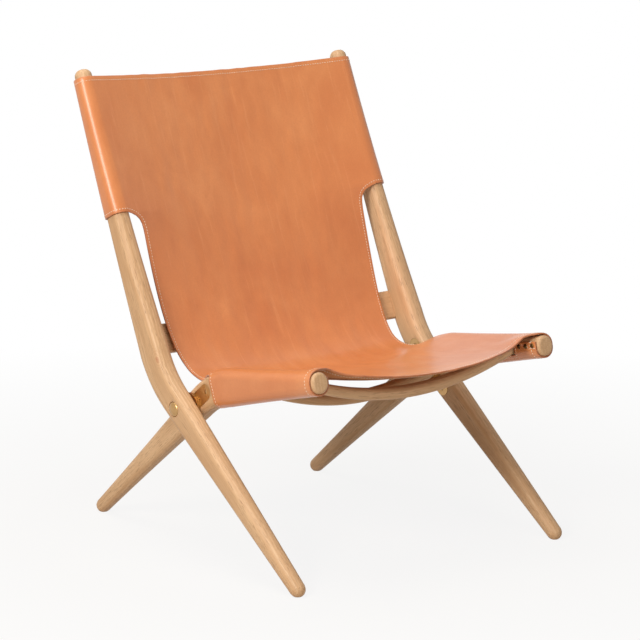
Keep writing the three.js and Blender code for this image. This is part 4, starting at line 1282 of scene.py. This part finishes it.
def dress_kept_nodes():
    for name in SIDES:
        for part in ("upright_plate", "seat_plate", "pivot_washer"):
            paint(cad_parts[f"{name}_{part}"], BRASS)


def dress_sling():
    sling, stitching, area = make_sling()
    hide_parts("back_sling", "sling_waist", "seat_sling")
    for piece in (sling, stitching):
        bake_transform(piece)


# Floor, light and camera


def show_white(plain, white, output, share=1.0):
    """Leads a shader to the output, and shows a white one in its place by a share to each ray
    that comes from the camera, a reflection or a clear body."""
    rays = node(plain, "LightPath").outputs
    seen = maths("MAXIMUM", rays["Is Glossy Ray"], rays["Is Transmission Ray"])
    seen = maths("MULTIPLY", maths("MAXIMUM", seen, rays["Is Camera Ray"]), share)
    blend = node(plain, "MixShader", {0: seen, 1: plain.outputs[0], 2: white.outputs[0]})
    connect(output.inputs[0], blend.outputs[0])


def make_floor():
    """A pale floor that the camera sees as white, and that keeps the shadow near the chair."""
    wide = (-FLOOR_REACH / MM, FLOOR_REACH / MM)
    floor = to_object("floor", [(x, y, 0) for x, y in oblong(wide, wide)], [(0, 1, 2, 3)])
    made, shader = material(
        "floor", {"Base Color": FLOOR_COLOUR, "Roughness": 0.9, "Specular IOR Level": 0.0})
    share = spread(length_from(object_space(shader)), *FLOOR_SHADE_REACH, FLOOR_WHITE_SHARE, 1.0)
    bare = node(shader, "Emission", {"Color": WHITE, "Strength": 1.0})
    output = next(n for n in made.node_tree.nodes if n.type == "OUTPUT_MATERIAL")
    show_white(shader, bare, output, share)
    paint(floor, made)


def make_world():
    world = bpy.data.worlds.new("studio")
    bpy.context.scene.world = world
    world.use_nodes = True
    tree = world.node_tree
    tree.nodes.clear()
    soft = node(tree, "Background", {"Color": WORLD_COLOUR, "Strength": WORLD_STRENGTH})
    bare = node(tree, "Background", {"Color": WHITE, "Strength": 1.0})
    show_white(soft, bare, node(tree, "OutputWorld"))


def add_light(name, spot, target, size, watts, colour):
    lamp = add_object(name, set_all(
        bpy.data.lights.new(name, "AREA"), shape="RECTANGLE", size=size[0], size_y=size[1],
        energy=watts, color=colour))
    lamp.location = spot
    lamp.rotation_euler = (Vector(target) - Vector(spot)).to_track_quat("-Z", "Y").to_euler()


def make_camera():
    azimuth, elevation, roll = (math.radians(v) for v in CAMERA_TURNS_DEG)
    forward = Vector((-math.sin(azimuth) * math.cos(elevation),
                      math.cos(azimuth) * math.cos(elevation), -math.sin(elevation)))
    camera = add_object("camera", set_all(
        bpy.data.cameras.new("camera"), sensor_width=SENSOR_WIDTH_MM, clip_end=CAMERA_CLIP_END,
        lens=SENSOR_WIDTH_MM * CAMERA_FOCAL_PIXELS / PICTURE_PIXELS))
    camera.location = CAMERA_PLACE
    camera.rotation_mode = "QUATERNION"
    rolled = Matrix.Rotation(roll, 3, "Z").to_quaternion()
    camera.rotation_quaternion = forward.to_track_quat("-Z", "Y") @ rolled
    bpy.context.scene.camera = camera


make_frames()
dress_kept_nodes()
dress_sling()
make_floor()
make_world()
for lamp in LAMPS:
    add_light(*lamp)
make_camera()
bpy.context.scene.view_settings.view_transform = "Standard"

bpy.context.view_layer.update()
